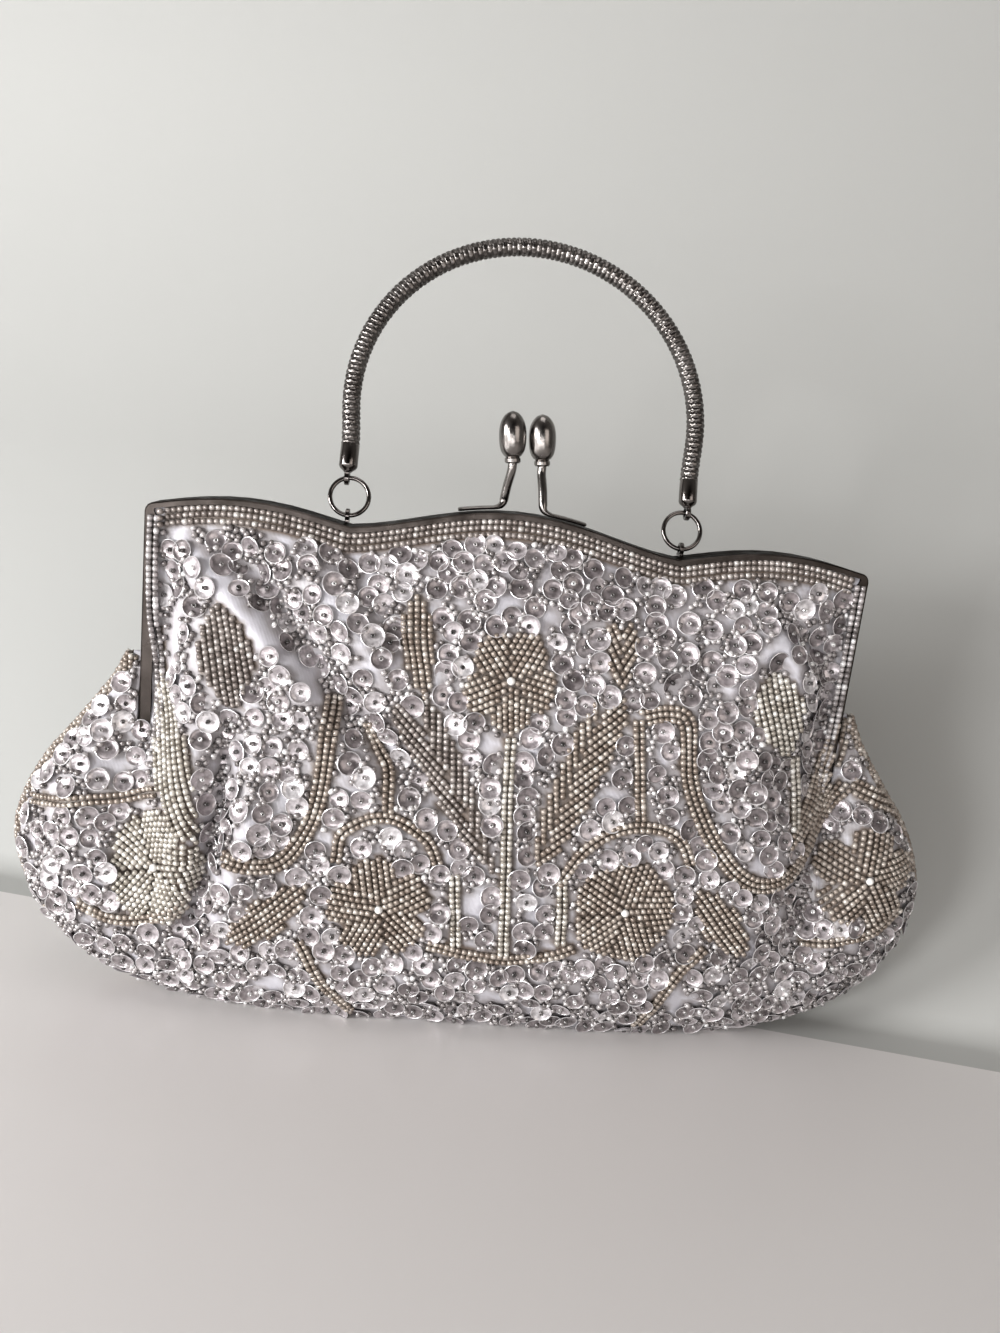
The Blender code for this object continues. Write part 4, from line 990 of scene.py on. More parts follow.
# Centre, height over two, turn of the first petal in degrees and width against height
FLOWERS = {
    "flowers": (
        ((1.1, 105.7), 14.2, 60.0, 0.88), ((-28.7, 39.5), 14.8, 30.0, 0.97),
        ((39.5, 43.8), 15.2, 78.0, 0.96), ((112.5, 54.3), 14.4, 85.0, 1.08),
    ),
    "pale_flower": (((-91.3, 43.5), 17.0, 80.0, 0.74),),
}
# Spine, then each hand's direction in degrees and its rows' lengths along the spine
FEATHERS = {
    "leaves": (
        (((25.2, 97.5), (23.7, 92.0), (21.3, 84.0), (18.4, 74.0), (15.4, 64.0), (12.6, 53.5)),
         ((96.5, (4.0, 8.0, 9.4, 9.4, 9.0, 4.0)), (41.5, (8.0, 14.0, 15.0, 13.0, 11.5, 6.0)))),
        (((30.0, 123.0), (30.5, 113.9), (31.0, 103.3)),
         ((121.0, (1.0, 6.5, 7.5, 2.0)), (60.5, (1.0, 6.5, 7.5, 2.0)))),
    ),
    "deep_leaves": (
        (((-20.5, 89.5), (-16.4, 82.8), (-12.3, 76.0), (-6.9, 67.5), (-2.7, 58.8), (2.0, 50.5)),
         ((137.0, (11.0, 18.0, 21.0, 20.0, 15.0, 6.0)), (95.5, (10.0, 13.0, 12.5, 12.0, 9.0, 3.0)))),
    ),
}
# Spine and half width
BUDS = {
    "leaves": (
        (((-25.9, 125.0), (-24.7, 114.2), (-21.4, 99.0)), 4.2),
        (((-49.0, 44.5), (-60.0, 33.5), (-70.5, 24.0)), 5.2),
        (((60.0, 51.0), (68.5, 41.0), (77.5, 31.0)), 5.2),
        (((100.5, 100.0), (98.5, 88.0), (93.0, 74.0), (86.0, 64.0)), 4.8),
    ),
    "deep_leaves": ((((-77.5, 118.0), (-75.0, 105.0), (-72.0, 91.0)), 7.4),),
    "pale_leaves": (
        (((73.5, 113.5), (77.0, 103.0), (81.5, 90.5)), 7.0),
        (((-93.5, 96.0), (-89.5, 80.0), (-86.0, 66.0), (-80.5, 53.0)), 5.6),
    ),
}
# Line and number of strands
SCROLLS = {
    "scrolls": (
        (((-41.5, 53.0), (-40.0, 61.0), (-29.0, 66.0), (-18.0, 61.0), (-13.5, 53.0)), 2),
        (((20.0, 51.0), (28.0, 63.0), (40.0, 68.6), (51.5, 66.5), (57.0, 58.0)), 2),
        (((-14.0, 29.5), (-4.0, 27.4), (8.8, 26.6), (20.0, 28.6), (27.0, 31.5)), 2),
        (((-50.0, 27.0), (-42.0, 13.0), (-34.0, 3.0)), 2),
        (((64.0, 33.0), (57.5, 24.0), (53.0, 14.0), (49.7, 4.5)), 2),
        (((-35.9, 89.8), (-32.6, 83.0), (-29.6, 77.9), (-28.6, 67.5)), 2),
        (((37.0, 97.5), (39.0, 83.0), (40.8, 70.0)), 2),
        (((-46.0, 96.0), (-47.0, 73.0), (-50.0, 60.5), (-57.5, 50.5), (-71.5, 50.5)), 3),
        (((38.0, 98.8), (45.0, 100.6), (50.5, 98.5), (53.3, 83.0), (59.6, 69.3), (70.0, 57.0),
          (80.0, 53.2), (90.0, 58.0), (97.5, 70.0)), 3),
        (((-127.5, 57.0), (-119.0, 58.9), (-111.4, 60.6), (-101.1, 61.4), (-92.0, 64.5)), 2),
        (((93.5, 61.5), (98.0, 69.9), (104.8, 80.8)), 3),
        (((106.5, 80.5), (114.5, 77.0), (123.7, 72.5), (131.0, 66.5)), 3),
        (((-112.0, 30.0), (-103.0, 27.0), (-92.0, 28.0), (-83.0, 33.0)), 2),
        (((96.0, 34.0), (106.0, 35.5), (118.0, 38.5), (126.0, 45.0)), 2),
    ),
    "stems": (
        (((2.6, 90.0), (3.4, 73.0), (5.0, 54.0), (7.0, 28.0)), 2),
        (((-9.0, 50.5), (-7.8, 41.0), (-6.6, 30.5)), 2),
        (((21.0, 51.5), (22.0, 41.5), (22.6, 31.5)), 2),
        (((84.5, 89.0), (86.0, 80.0), (87.0, 68.0)), 2),
    ),
}
# Bare windows in the embroidery: centre, half width and half height
WINDOWS = (
    (-3.4, 88.6, 3.4, 3.0), (8.6, 87.4, 3.2, 3.4), (-2.0, 42.0, 3.2, 6.5),
    (14.5, 42.0, 3.2, 6.5), (-90.0, 108.0, 2.6, 8.0), (-58.0, 66.0, 2.6, 5.0),
    (-66.0, 60.0, 2.4, 4.0), (66.0, 100.0, 3.4, 3.0), (-104.0, 70.0, 7.0, 3.0),
    (-70.0, 43.0, 3.5, 2.6), (44.0, 126.0, 3.0, 2.4), (59.0, 126.0, 3.4, 2.4),
    (-58.0, 12.0, 6.0, 3.0), (4.0, 14.0, 7.0, 2.6), (60.0, 16.0, 5.0, 3.0),
    (120.0, 46.0, 3.0, 3.0), (-3.0, 126.0, 3.6, 2.4), (10.0, 124.0, 3.4, 2.4),
    (34.0, 76.0, 2.4, 3.0), (78.0, 60.0, 3.6, 2.4),
)
# Bare lines along the ridges of the cloth
WINDOW_LINES = (
    ((-92.0, 137.0), (-82.0, 127.5), (-70.5, 116.5), (-57.7, 104.8), (-51.0, 97.0)),
    ((-50.0, 124.0), (-44.0, 117.0), (-38.0, 109.5), (-35.0, 103.0)),
    ((65.0, 111.0), (70.0, 118.5), (74.5, 122.5), (79.0, 117.0), (82.0, 110.0)),
)
# Side strands of the edging: across from the middle and up
LEFT_STRAND = (
    (98.2, 138.5), (98.2, 126.0), (97.6, 112.0), (95.6, 100.0), (94.6, 88.0), (94.6, 74.0)
)
RIGHT_STRAND = ((98.2, 138.5), (98.2, 120.0), (98.0, 100.0), (97.6, 88.0), (97.4, 78.0))
# Groups of beads in the order in which they are made
FINISHES = {
    "flowers": GLASS, "pale_flower": PALE_GLASS, "leaves": GLASS, "deep_leaves": DEEP_GLASS,
    "pale_leaves": PALE_GLASS, "scrolls": GLASS, "stems": PALE_GLASS, "edging": DEEP_GLASS,
    "side_strands": MIST_GLASS,
}


def frame_rows(side):
    """Rows of beads that follow the frame's top, and strands that follow its sides."""
    rows, strands = [], []
    across = np.linspace(-HALF_WIDTH + EDGING_INSET, HALF_WIDTH - EDGING_INSET, 120)
    for strand in range(3):
        up = top_edge(across) - LIP_ON_TOP - 1.0 * MM - strand * STRAND_PITCH
        rows.append(even_points(np.stack([across, up], axis=1), side))
    for end, points in ((LEFT, LEFT_STRAND), (RIGHT, RIGHT_STRAND)):
        for strand in range(2):
            inward = strand * STRAND_PITCH / MM
            line = curve_through([(as_seen(end * (x - inward), side), z) for x, z in points])
            strands.append(even_points(line * MM, side))
    return rows, strands


def motif_rows(side):
    """Rows of beads of one side, by group."""
    groups = {group: [] for group in FINISHES}
    groups["edging"], groups["side_strands"] = frame_rows(side)

    def placed(points):
        return [(as_seen(x, side), z) for x, z in points]

    def turned_to(angle):
        return angle if side == FRONT else 180.0 - angle

    for group, flowers in FLOWERS.items():
        for centre, radius, turn, stretch in flowers:
            centre = np.array(placed([centre])[0])
            turn = math.radians(turned_to(turn))
            groups[group] += flower_rows(centre, radius, side, turn, stretch)
    for group, feathers in FEATHERS.items():
        for points, hands in feathers:
            hands = [(turned_to(angle), reaches) for angle, reaches in hands]
            groups[group] += feather_rows(placed(points), hands, side)
    for group, buds in BUDS.items():
        for points, wide in buds:
            groups[group] += bud_rows(placed(points), wide, side)
    for group, scrolls in SCROLLS.items():
        for points, strands in scrolls:
            groups[group] += line_rows(placed(points), side, strands)
    return groups


def bead_object(name, places, axes, finish, scale_spread=0.07, steps=8, radius=BEAD_RADIUS):
    """One mesh of many beads."""
    scales = 1.0 + scale_spread * random.uniform(-1.0, 1.0, len(places))
    return make(name, *copies(bead_template(radius, BEAD_LENGTH, steps), places, axes, scales), finish)


def sew(word, places, **kinds):
    """Trim by kind: pieces on the lobes ride the pouch, the rest have their transforms baked."""
    on_lobe = np.abs(places[:, 0]) > SPLIT_X
    for where, mask in (("lobe_", on_lobe), ("", ~on_lobe)):
        for kind, build in kinds.items() if mask.any() else ():
            piece = build(f"{word}_{where}{kind}", mask)
            if where:
                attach(piece, "pouch")
            else:
                bend(piece)


def beads_at(places, axes, *looks):
    """What makes the beads at the marked ones of these places."""
    return lambda name, mask: bead_object(name, places[mask], axes[mask], *looks)


def ornament(word, side):
    """All beads and sequins of one side."""
    taken = []
    for group, rows in motif_rows(side).items():
        places, axes = row_beads(rows, side)
        out, up = np.abs(places[:, 0]), places[:, 2]
        fits = (out < half_width(up) + 1.0 * MM) & (up > 0.9 * MM)
        fits &= ~((out > SPLIT_X) & (out < HALF_WIDTH + 1.3 * MM) & (up > HEM))
        places, axes = places[fits], axes[fits]
        kept = thin_out(places)
        places, axes = places[kept], axes[kept]
        taken.append(places)
        sew(word, places, **{group: beads_at(places, axes, FINISHES[group])})
    beads = np.concatenate(taken)
    discs = sequins(word, side, beads)
    loose = loose_beads(word, side, beads, discs)
    pearls(word, side)
    return beads, np.concatenate([discs, loose])


def thin_out(places):
    """Which beads stay when those that lie in an earlier one are left out."""
    tree = tree_of(places)
    gone = set()
    for index, place in enumerate(places):
        if index not in gone:
            near = tree.find_range(place, BEAD_PITCH * 0.72)
            gone.update(other for _, other, _ in near if other > index)
    return np.array([index for index in range(len(places)) if index not in gone])


def in_window(x, z, side):
    """Which points lie in a bare window of one side's embroidery."""
    seen = as_seen(x, side)
    found = np.zeros(len(x), dtype=bool)
    ragged = 1.0 + 0.35 * np.sin(900.0 * seen + 300.0 * z) * np.sin(800.0 * z - 350.0 * seen)
    for across, up, wide, high in WINDOWS:
        found |= ((seen / MM - across) / wide) ** 2 + ((z / MM - up) / high) ** 2 < ragged
    for line in WINDOW_LINES:
        found |= segment_distance(seen, z, line)[0] < 1.9 * MM * ragged
    return found


def bare_patch(x, z):
    """Which points lie in a patch of satin with no loose beads."""
    x, z = x / MM, z / MM
    along = np.sin(0.62 * x + 1.4 * np.sin(0.31 * z))
    return along * np.sin(0.55 * z + 1.2 * np.sin(0.27 * x + 1.0)) > 0.22


def on_field(x, z, edge, radius):
    """Which points lie on the cloth that is sewn over, clear of its borders and the frame."""
    out = np.abs(x)
    clear = HALF_WIDTH + radius + FRAME_CLEARANCE
    inside = out < half_width(z) - edge
    panel = (out < HALF_WIDTH - edge - 3.4 * MM) & (z < top_edge(x) - edge - 5.0 * MM)
    lobe = (out > clear) & (z < LOBE_TOP - edge - 2.0 * MM) & inside
    by_hinge = (out > SPLIT_X) & (out < clear) & (z > HINGE - 9.0 * MM)
    return np.where(z > HEM, panel | lobe, inside & ~by_hinge)


def spread_out(places, beads):
    """Which places stay, in turn, clear of the bead rows and of those before."""
    rows = tree_of(beads)
    cells, chosen = {}, []
    for index, place in enumerate(places):
        if rows.find(place)[2] < ROW_CLEARANCE:
            continue
        cell = (place // SEQUIN_SPACING).astype(int)
        spacing = SEQUIN_SPACING * (0.78 if index % 3 == 0 else 1.0)
        near = [cells.get(tuple(cell + step), []) for step in product((-1, 0, 1), repeat=3)]
        if all(np.linalg.norm(places[other] - place) >= spacing for other in sum(near, [])):
            cells.setdefault(tuple(cell), []).append(index)
            chosen.append(index)
    return np.array(chosen)


def sequins(word, side, beads):
    """Cup sequins with a bead in each, scattered where no bead row lies."""
    x = random.uniform(-1.0, 1.0, SEQUIN_TRIES) * (HALF_WIDTH + LOBE_REACH)
    z = random.uniform(2.0 * MM, CREST - 6.0 * MM, SEQUIN_TRIES)
    allowed = on_field(x, z, 1.9 * MM, SEQUIN_RADIUS)
    allowed &= ~in_window(x, z, side) | (random.uniform(0.0, 1.0, SEQUIN_TRIES) < 0.012)
    x, z = x[allowed], z[allowed]
    on = skin_point(x, z, side)
    chosen = spread_out(on, beads)
    on, normal = on[chosen], skin_normal(x, z, side)[chosen]
    up = unit(normal + random.normal(0.0, 0.15, (len(on), 3)))
    helper = np.where(np.abs(up[:, 2:3]) < 0.9, [[0.0, 0.0, 1.0]], [[1.0, 0.0, 0.0]])
    axes = axes_of(unit(np.cross(helper, up)), up)
    lift = random.uniform(0.30, 0.95, len(on)) * MM
    places = on + normal * lift[:, None]
    scales = random.uniform(0.92, 1.10, len(on))
    template, painted_rim_highlight = sequin_template()

    def discs(name, mask):
        shape = copies(template, places[mask], axes[mask], scales[mask])
        piece = make(name, *shape, FOIL, sharp=40)
        # Painted highlight marks on each sequin's raised edge
        mark = piece.data.attributes.new("painted_rim_highlight", "FLOAT", "POINT")
        mark.data.foreach_set("value", np.tile(painted_rim_highlight, mask.sum()))
        return piece

    risen = places + up * SEQUIN_BEAD_RISE
    looks = (CLEAR, 0.07, 6, SEQUIN_BEAD_RADIUS)
    sew(word, on, sequins=discs, sequin_beads=beads_at(risen, axes[:, [2, 0, 1]], *looks))
    return places


def loose_beads(word, side, beads, discs):
    """Seed beads sewn on singly between the rows and the sequins."""
    columns = np.arange(-(HALF_WIDTH + LOBE_REACH), HALF_WIDTH + LOBE_REACH, LOOSE_SPACING)
    x, z = np.meshgrid(columns, np.arange(1.6 * MM, CREST, LOOSE_SPACING * 0.87))
    x[1::2] += 0.5 * LOOSE_SPACING
    x, z = (
        value.ravel() + random.uniform(-0.22, 0.22, value.size) * LOOSE_SPACING for value in (x, z)
    )
    allowed = on_field(x, z, 1.0 * MM, BEAD_RADIUS) & ~in_window(x, z, side) & ~bare_patch(x, z)
    allowed &= random.uniform(0.0, 1.0, len(x)) < 0.90
    x, z = x[allowed], z[allowed]
    on = skin_point(x, z, side)
    rows, cups = tree_of(beads), tree_of(discs)
    free = np.array([
        rows.find(place)[2] > LOOSE_CLEARANCE and cups.find(place)[2] > 0.74 * SEQUIN_RADIUS
        for place in on
    ])
    on, normal = on[free], skin_normal(x, z, side)[free]
    drift = unit(random.normal(0.0, 1.0, (len(on), 3)))
    places = on + normal * (BEAD_RADIUS * 0.9)
    axes = axes_of(laid(drift, normal), normal)
    sew(word, on, loose_beads=beads_at(places, axes, MIST_GLASS, 0.12, 6))
    return places


def pearls(word, side):
    """Round bead in the middle of each flower."""
    centres = np.array([flower[0] for flowers in FLOWERS.values() for flower in flowers])
    x, z = as_seen(centres[:, 0], side) * MM, centres[:, 1] * MM
    on, normal = skin_point(x, z, side), skin_normal(x, z, side)
    places = on + normal * (PEARL_RADIUS * 0.95)
    axes = axes_of(unit(np.cross(np.array([0.0, 0.0, 1.0]), normal)), normal)
    turns = np.linspace(0.0, math.pi, 9)
    profile = [(-math.cos(a) * PEARL_RADIUS, max(math.sin(a), 0.12) * PEARL_RADIUS) for a in turns]
    points, faces = turned(profile, (0.0, 0.0, 0.0), (1.0, 0.0, 0.0), 16)

    def balls(name, mask):
        shape = merged([
            ([place + np.array(point) @ turn for point in points], faces)
            for place, turn in zip(places[mask], axes[mask])
        ])
        return facing_out(make(name, *shape, PEARL))

    sew(word, on, pearls=balls)


def seam_rope(word, end):
    """Rope of beads round a lobe's seam."""

    def upright(flat):
        return np.stack([end * flat[:, 0], np.zeros(len(flat)), flat[:, 1]], axis=1)

    z = np.linspace(1.8 * MM, LOBE_TOP - 1.0 * MM, 260)
    line = np.stack([half_width(z) - 0.2 * MM, z], axis=1)
    length = lengths_along(line)
    at = np.arange(0.0, length[-1], BEAD_PITCH * 0.86)
    flat = at_lengths(line, length, at)
    core, along, out = upright(flat), upright(unit(np.gradient(flat, axis=0))), upright(-beside(flat))
    across = np.array([0.0, 1.0, 0.0])
    places, axes = [], []
    for strand in range(ROPE_STRANDS):
        turn = 2.0 * np.pi * strand / ROPE_STRANDS + at / ROPE_RADIUS * 0.40
        cos, sin = np.cos(turn)[:, None], np.sin(turn)[:, None]
        radial = out * cos + across * sin
        twist = -out * sin + across * cos
        places.append(core + radial * ROPE_RADIUS)
        axes.append(axes_of(unit(along + twist * 0.45), radial))
    places, axes = np.concatenate(places), np.concatenate(axes)
    fits = places[:, 2] > 1.0 * MM
    piece = bead_object(f"seam_rope_{word}", places[fits], axes[fits], GLASS)
    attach(piece, "pouch")
    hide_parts(f"seam_piping_{word}")


# Frame and hardware

def finish_cad():
    """Better finish on the CAD nodes that stay."""
    for name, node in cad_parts.items():
        finish = PAPER if name.endswith("channel_cord") else CHANNEL if "channel" in name else NICKEL
        node.data.materials.clear()
        node.data.materials.append(finish)
        if name.endswith("frame_channel"):
            rounding = node.modifiers.new("rounded edges", "BEVEL")
            rounding.width = ROUNDING
            rounding.segments = 2
            rounding.limit_method = "ANGLE"


def swept(stations, sides):
    """Points and faces of a rod through (place, half width across Y, half height)."""
    sections = []
    turns = [2.0 * math.pi * side / sides for side in range(sides)]
    for index, (place, wide, high) in enumerate(stations):
        before = stations[max(index - 1, 0)][0]
        after = stations[min(index + 1, len(stations) - 1)][0]
        tangent = (after - before).normalized()
        across = (Vector((0.0, 1.0, 0.0)) - tangent * tangent.y).normalized()
        up = tangent.cross(across)
        sections.append([
            place + across * (math.cos(turn) * wide) + up * (math.sin(turn) * high) for turn in turns
        ])
    return loft(sections)


def metal(name, shape, body, node, finish=NICKEL, sharp=35):
    """Hardware piece that rides one body and stands for one node."""
    piece = facing_out(make(name, *shape, finish, sharp=sharp))
    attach(piece, body)
    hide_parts(node)


def knob(word, side):
    """Egg-shaped knob and the bent wire post that carries it."""
    away = as_seen(RIGHT, side)
    x = -KNOB_X if side == BACK else KNOB_X + KNOB_LENGTH * math.sin(KNOB_LEAN)
    base = Vector((x, -side * KNOB_CROSS, CREST + KNOB_RISE))
    axis = Vector((-math.sin(KNOB_LEAN), 0.0, math.cos(KNOB_LEAN)))
    profile = [(0.0, KNOB_HOLE)]
    for shares, most in ((COLLAR_SHARES, COLLAR_RADIUS), (curve_through(EGG_SHARES, 4), KNOB_RADIUS)):
        profile += [(along * KNOB_LENGTH, radius * most) for along, radius in shares]
    shape = turned(profile, base, axis, 40)
    metal(f"{word}_egg_knob", shape, f"{word}_frame", f"{word}_knob", KNOB)
    bend_x = x + away * 0.5 * STEM_BEND
    middle = side * CHANNEL_MIDDLE
    rise = FOOT_HALF_HEIGHT + SEAT_GAP
    stations = []
    for share, inset in FOOT_SHARES:
        along = bend_x + away * (STEM_BEND + share * (FOOT_LENGTH - STEM_BEND))
        place = Vector((along, middle, float(top_edge(along)) + rise))
        stations.append((place, FOOT_HALF_WIDTH * inset, FOOT_HALF_HEIGHT * inset))
    low = float(top_edge(bend_x)) + rise
    corner = Vector((bend_x + away * STEM_BEND, middle, low + STEM_BEND))
    for share in (0.2, 0.4, 0.6, 0.8, 1.0):
        turn = 0.5 * math.pi * share
        round_bend = (-away * STEM_BEND * math.sin(turn), 0.0, -STEM_BEND * math.cos(turn))
        wide = FOOT_HALF_WIDTH + (STEM_RADIUS - FOOT_HALF_WIDTH) * share
        high = FOOT_HALF_HEIGHT + (STEM_RADIUS - FOOT_HALF_HEIGHT) * share
        stations.append((corner + Vector(round_bend), wide, high))
    first = stations[-1][0]
    path = [tuple(first)]
    for sideways, upward in STEM_SHARES:
        shares = (sideways, sideways, upward)
        path.append([a + (b - a) * share for a, b, share in zip(first, base, shares)])
    path += [tuple(base), tuple(base + axis * STEM_IN_KNOB * MM)]
    stations += [(Vector(place), STEM_RADIUS, STEM_RADIUS) for place in curve_through(path, 6)[1:]]
    metal(f"{word}_wire_post", swept(stations, 20), f"{word}_frame", f"{word}_knob_post", KNOB)


def ring_pivot():
    """Y and Z of the line through both eyes."""
    return CHANNEL_MIDDLE, float(top_edge(RING_X)) + SEAT_GAP + EYE_RADIUS


def on_handle(x, rise):
    """Point of the handle's leaning plane, at rise above the ring tops."""
    y, z = ring_pivot()
    reach = 2.0 * RING_RADIUS + rise
    return Vector((x, y + reach * math.sin(HANDLE_LEAN), z + reach * math.cos(HANDLE_LEAN)))


def rings_and_sleeves(word, end):
    """Eye, wire ring and the chain's end sleeve of one side."""
    y, z = ring_pivot()
    side_on = Vector((1.0, 0.0, 0.0))
    eye = turned(EYE_PROFILE, (end * RING_X, y, z), side_on, 32, closed=True)
    low = float(top_edge(RING_X)) + SEAT_GAP
    foot = loft([
        [(end * RING_X + dx * EYE_FOOT_HALF, y + dy * EYE_RADIUS, at)
         for dx, dy in ((-1, -1), (1, -1), (1, 1), (-1, 1))]
        for at in (low, low + EYE_FOOT_HEIGHT)
    ])
    metal(f"eye_lug_{word}", merged([eye, foot]), "back_frame", f"ring_eye_{word}")

    up = Vector((0.0, math.sin(HANDLE_LEAN), math.cos(HANDLE_LEAN)))
    facing = up.cross(side_on)
    centre = Vector((end * RING_X, y, z)) + up * RING_RADIUS
    sections = []
    wire = [2.0 * math.pi * part / 14 for part in range(14)]
    for step in range(64):
        turn = 2.0 * math.pi * step / 64
        out = side_on * math.cos(turn) + up * math.sin(turn)
        sections.append([
            centre + out * (RING_RADIUS + RING_WIRE * math.cos(a)) + facing * (RING_WIRE * math.sin(a))
            for a in wire
        ])
    metal(f"wire_ring_{word}", loft(sections, closed=True), f"ring_{word}", f"ring_{word}")

    top = SLEEVE_START + SLEEVE_LENGTH
    profile = [
        (SLEEVE_START, 0.3 * MM), (SLEEVE_START, 1.1 * MM), (SLEEVE_START + 0.5 * MM, SLEEVE_NECK),
        (SLEEVE_START + 1.0 * MM, 2.2 * MM), (SLEEVE_START + 1.5 * MM, SLEEVE_RADIUS - 0.1 * MM),
        (SLEEVE_START + 1.8 * MM, SLEEVE_RADIUS), (top - 0.5 * MM, SLEEVE_RADIUS),
        (top - 0.2 * MM, SLEEVE_RADIUS - 0.1 * MM), (top, SLEEVE_RADIUS - 0.4 * MM), (top, 1.2 * MM),
    ]
    foot = on_handle(end * LEG_X, 0.0)
    sleeve = merged([
        turned(profile, foot, up, 36), turned(LOOP_PROFILE, foot, side_on, 32, closed=True)
    ])
    metal(f"end_sleeve_{word}", sleeve, "handle", f"handle_cap_{word}")


def chain():
    """Snake chain: staggered rows of small scales round a curved rod."""
    start = SLEEVE_START + SLEEVE_LENGTH - CHAIN_TUCK
    reach = LEG_X + LEG_SPREAD
    half = []
    for share in np.linspace(0.0, 1.0, 60):
        rise = start + share * (LEG_TOP - start)
        half.append((-LEG_X - LEG_SPREAD * float(smooth(share)), rise))
    for turn in np.linspace(0.0, 0.5 * math.pi, 240)[1:]:
        half.append((-reach * math.cos(turn), LEG_TOP + ARCH_HEIGHT * math.sin(turn)))
    line = np.array(half + [(-x, rise) for x, rise in reversed(half[:-1])])
    length = lengths_along(line)
    rows = round(length[-1] / SCALE_PITCH)
    around = 4 * SCALE_COLUMNS
    turn = 2.0 * np.pi * np.arange(around) / around
    places, radii = [], []
    for row in range(rows):
        for share in SCALE_SHARES:
            places.append(at_lengths(line, length, (row + share) * length[-1] / rows))
            column = SCALE_COLUMNS * turn / (2.0 * np.pi) + 0.5 * (row % 2)
            dash = np.abs(np.cos(np.pi * column)) ** 0.7
            rise = math.sin(math.pi * share) ** 0.6 if share else 0.0
            radii.append(CHAIN_RADIUS - CHAIN_GROOVE + SCALE_RISE * rise * (0.30 + 0.70 * dash))
    places = np.array(places)
    tangent = unit(np.gradient(places, axis=0))
    lean = np.array([0.0, math.sin(HANDLE_LEAN), math.cos(HANDLE_LEAN)])
    normal = np.array([0.0, math.cos(HANDLE_LEAN), -math.sin(HANDLE_LEAN)])
    sections = []
    for (x, rise), (along, upward), radius in zip(places, tangent, radii):
        centre = np.array(on_handle(x, rise))
        direction = np.array([along, 0.0, 0.0]) + lean * upward
        across = np.cross(direction, normal)
        sections.append(
            centre + radius[:, None] * (np.cos(turn)[:, None] * across + np.sin(turn)[:, None] * normal)
        )
    metal("snake_chain", loft(sections), "handle", "handle_chain", CHAIN, sharp=None)


# Stage

def plain_material(name, colour, rough):
    """Matt surface of nearly one colour."""
    made, tree, shader = new_material(name, Roughness=rough)
    tone = noise(tree, 3.0, 2.0)
    dim = tuple(0.985 * value for value in colour)
    tree.links.new(ramp(tree, tone, ((0.3, dim), (0.7, colour))), shader.inputs["Base Color"])
    return made


def one_sided(made):
    """Make a stage surface clear from behind, so that the bag's back can be looked at."""
    tree = made.node_tree
    shader = tree.nodes["Principled BSDF"]
    clear = tree.nodes.new("ShaderNodeBsdfTransparent")
    mix = tree.nodes.new("ShaderNodeMixShader")
    facing = tree.nodes.new("ShaderNodeNewGeometry")
    tree.links.new(facing.outputs["Backfacing"], mix.inputs["Fac"])
    tree.links.new(shader.outputs["BSDF"], mix.inputs[1])
    tree.links.new(clear.outputs["BSDF"], mix.inputs[2])
    tree.links.new(mix.outputs["Shader"], tree.nodes["Material Output"].inputs["Surface"])
    return made


def edge_at(along):
    """Y of the shelf's edge at x."""
    return EDGE_Y - EDGE_SLOPE * along


def stage():
    """Pale shelf in front, and a warm grey ground that curves up into a wall behind."""
    white = plain_material("shelf_white", (0.70, 0.675, 0.665), 0.30)
    grey = one_sided(plain_material("wall_grey", (0.43, 0.432, 0.418), 0.8))
    points = [
        (along, edge_at(along) - depth, 0.0)
        for along in (-STAGE_REACH, STAGE_REACH) for depth in (0.0, STAGE_DEPTH)
    ]
    make("shelf", points, [(0, 1, 3, 2)], white, False)
    profile = [(0.0, 0.0)]
    for turn in np.linspace(0.0, WALL_SLOPE, 9):
        profile.append((FOOT_FLAT + FOOT_CURVE * math.sin(turn), FOOT_CURVE * (1.0 - math.cos(turn))))
    back, up = profile[-1]
    run = (WALL_BEND - up) / math.tan(WALL_SLOPE)
    profile += [(back + 0.5 * run, 0.5 * (up + WALL_BEND)), (back + run, WALL_BEND)]
    for turn in np.linspace(WALL_SLOPE, 0.5 * math.pi, 9)[1:]:
        profile.append((
            back + run + WALL_CURVE * (math.sin(turn) - math.sin(WALL_SLOPE)),
            WALL_BEND + WALL_CURVE * (math.cos(WALL_SLOPE) - math.cos(turn)),
        ))
    profile.append((profile[-1][0], WALL_TOP))
    points = [(along, edge_at(along) + away, up) for along in WALL_COLUMNS for away, up in profile]
    faces = [face[::-1] for face in grid_faces(len(WALL_COLUMNS), len(profile))]
    ground = make("ground_and_wall", points, faces, grey)
    if ground.data.polygons[0].normal.z < 0.0:
        ground.data.flip_normals()


def lamp(name, place, target, size, power, colour):
    """Rectangular lamp that points at a target."""
    data = bpy.data.lights.new(name, "AREA")
    data.shape = "RECTANGLE"
    data.size, data.size_y = size
    data.energy = power
    data.color = colour
    made = bpy.data.objects.new(name, data)
    bpy.context.collection.objects.link(made)
    made.location = place
    made.rotation_euler = (Vector(target) - Vector(place)).to_track_quat("-Z", "Y").to_euler()


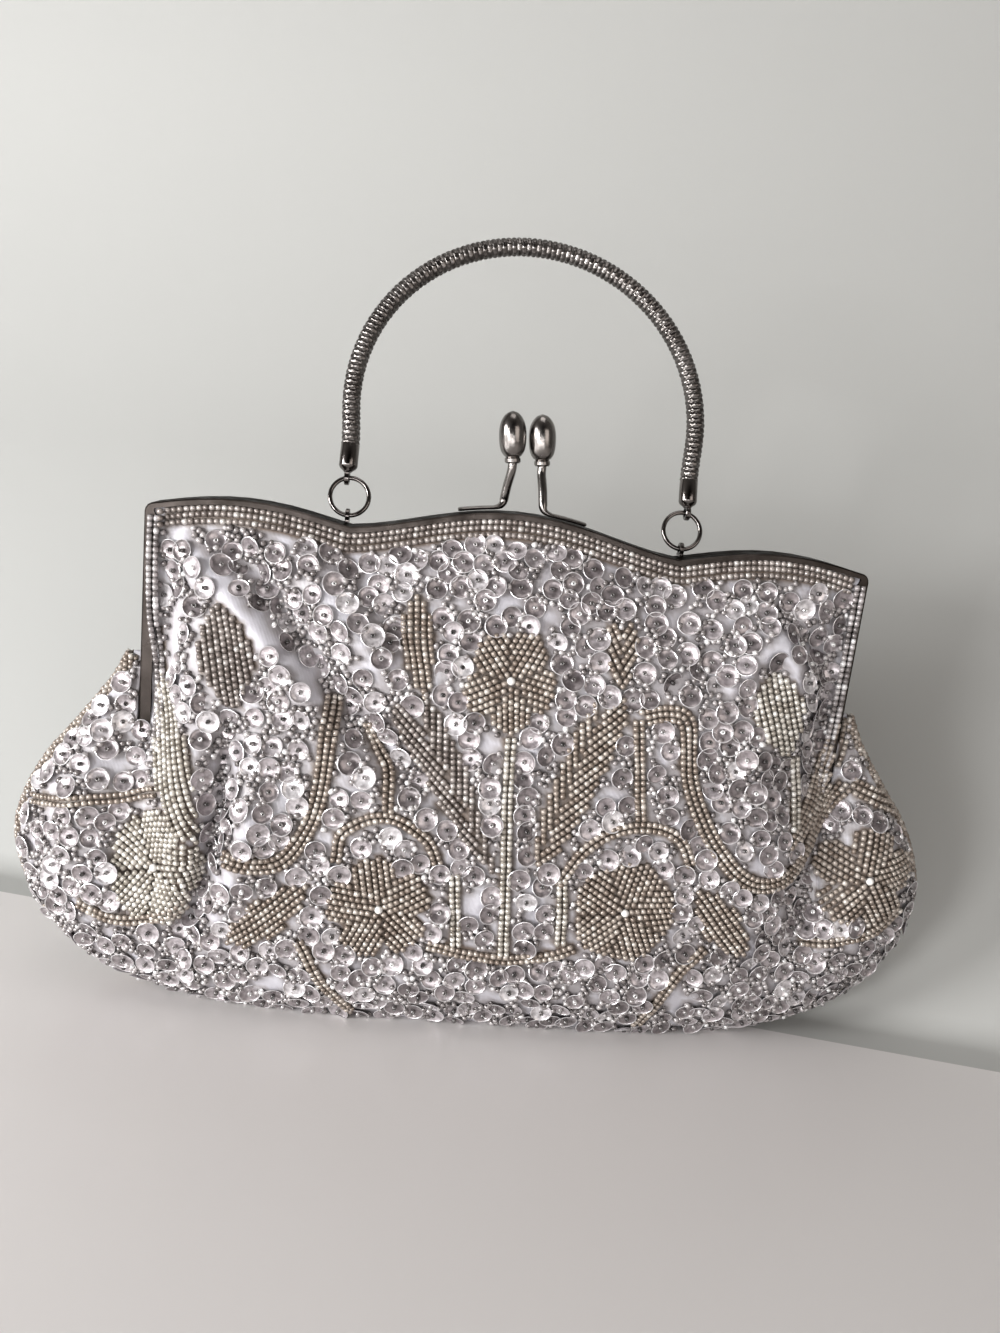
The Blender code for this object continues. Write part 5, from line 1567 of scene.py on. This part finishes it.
def light():
    """Window light from the left, a weak fill, and a world that is dark in front."""
    for values in LAMPS:
        lamp(*values)
    world = bpy.data.worlds.new("studio")
    bpy.context.scene.world = world
    world.use_nodes = True
    tree = world.node_tree
    back = tree.nodes["Background"]
    place = tree.nodes.new("ShaderNodeTexCoord")
    dot = tree.nodes.new("ShaderNodeVectorMath")
    dot.operation = "DOT_PRODUCT"
    dot.inputs[1].default_value = (0.10, -0.97, 0.22)
    tree.links.new(place.outputs["Generated"], dot.inputs[0])
    tone = ramp(tree, dot.outputs["Value"], (
        (0.0, (0.62, 0.58, 0.54)), (0.45, (0.46, 0.43, 0.40)), (0.80, (0.22, 0.20, 0.185)),
        (0.93, (0.035, 0.03, 0.028)),
    ))
    tree.links.new(tone, back.inputs["Color"])
    back.inputs["Strength"].default_value = 0.36


def camera():
    """Camera that sees the bag as the photograph does."""
    yaw, pitch, roll = (math.radians(angle) for angle in CAMERA_TURN)
    turn = (
        Matrix.Rotation(yaw, 3, "Z") @ Matrix.Rotation(pitch, 3, "X") @ Matrix.Rotation(roll, 3, "Y")
    )
    data = bpy.data.cameras.new("camera")
    data.sensor_width = SENSOR
    data.lens = SENSOR * FOCAL / LONG_SIDE
    data.clip_start = 0.01
    made = bpy.data.objects.new("camera", data)
    bpy.context.collection.objects.link(made)
    columns = Matrix((turn.col[0], turn.col[2], -turn.col[1])).transposed()
    made.matrix_world = Matrix.Translation(CAMERA_PLACE) @ columns.to_4x4()
    bpy.context.scene.camera = made


def main():
    """Everything, in the order of the random draws."""
    bpy.context.scene.view_settings.view_transform = "Standard"
    camera()
    light()
    stage()
    finish_cad()
    sewn = []
    for word, side in (("front", FRONT), ("back", BACK)):
        sewn.append(ornament(word, side))
        middle_cloth(word, side, *sewn[-1])
        lining_cloth(word, side)
        knob(word, side)
    beads, scattered = (np.concatenate(places) for places in zip(*sewn))
    for word, end in (("left", LEFT), ("right", RIGHT)):
        side_lobe(word, end, beads, scattered)
        seam_rope(word, end)
        rings_and_sleeves(word, end)
    chain()


main()
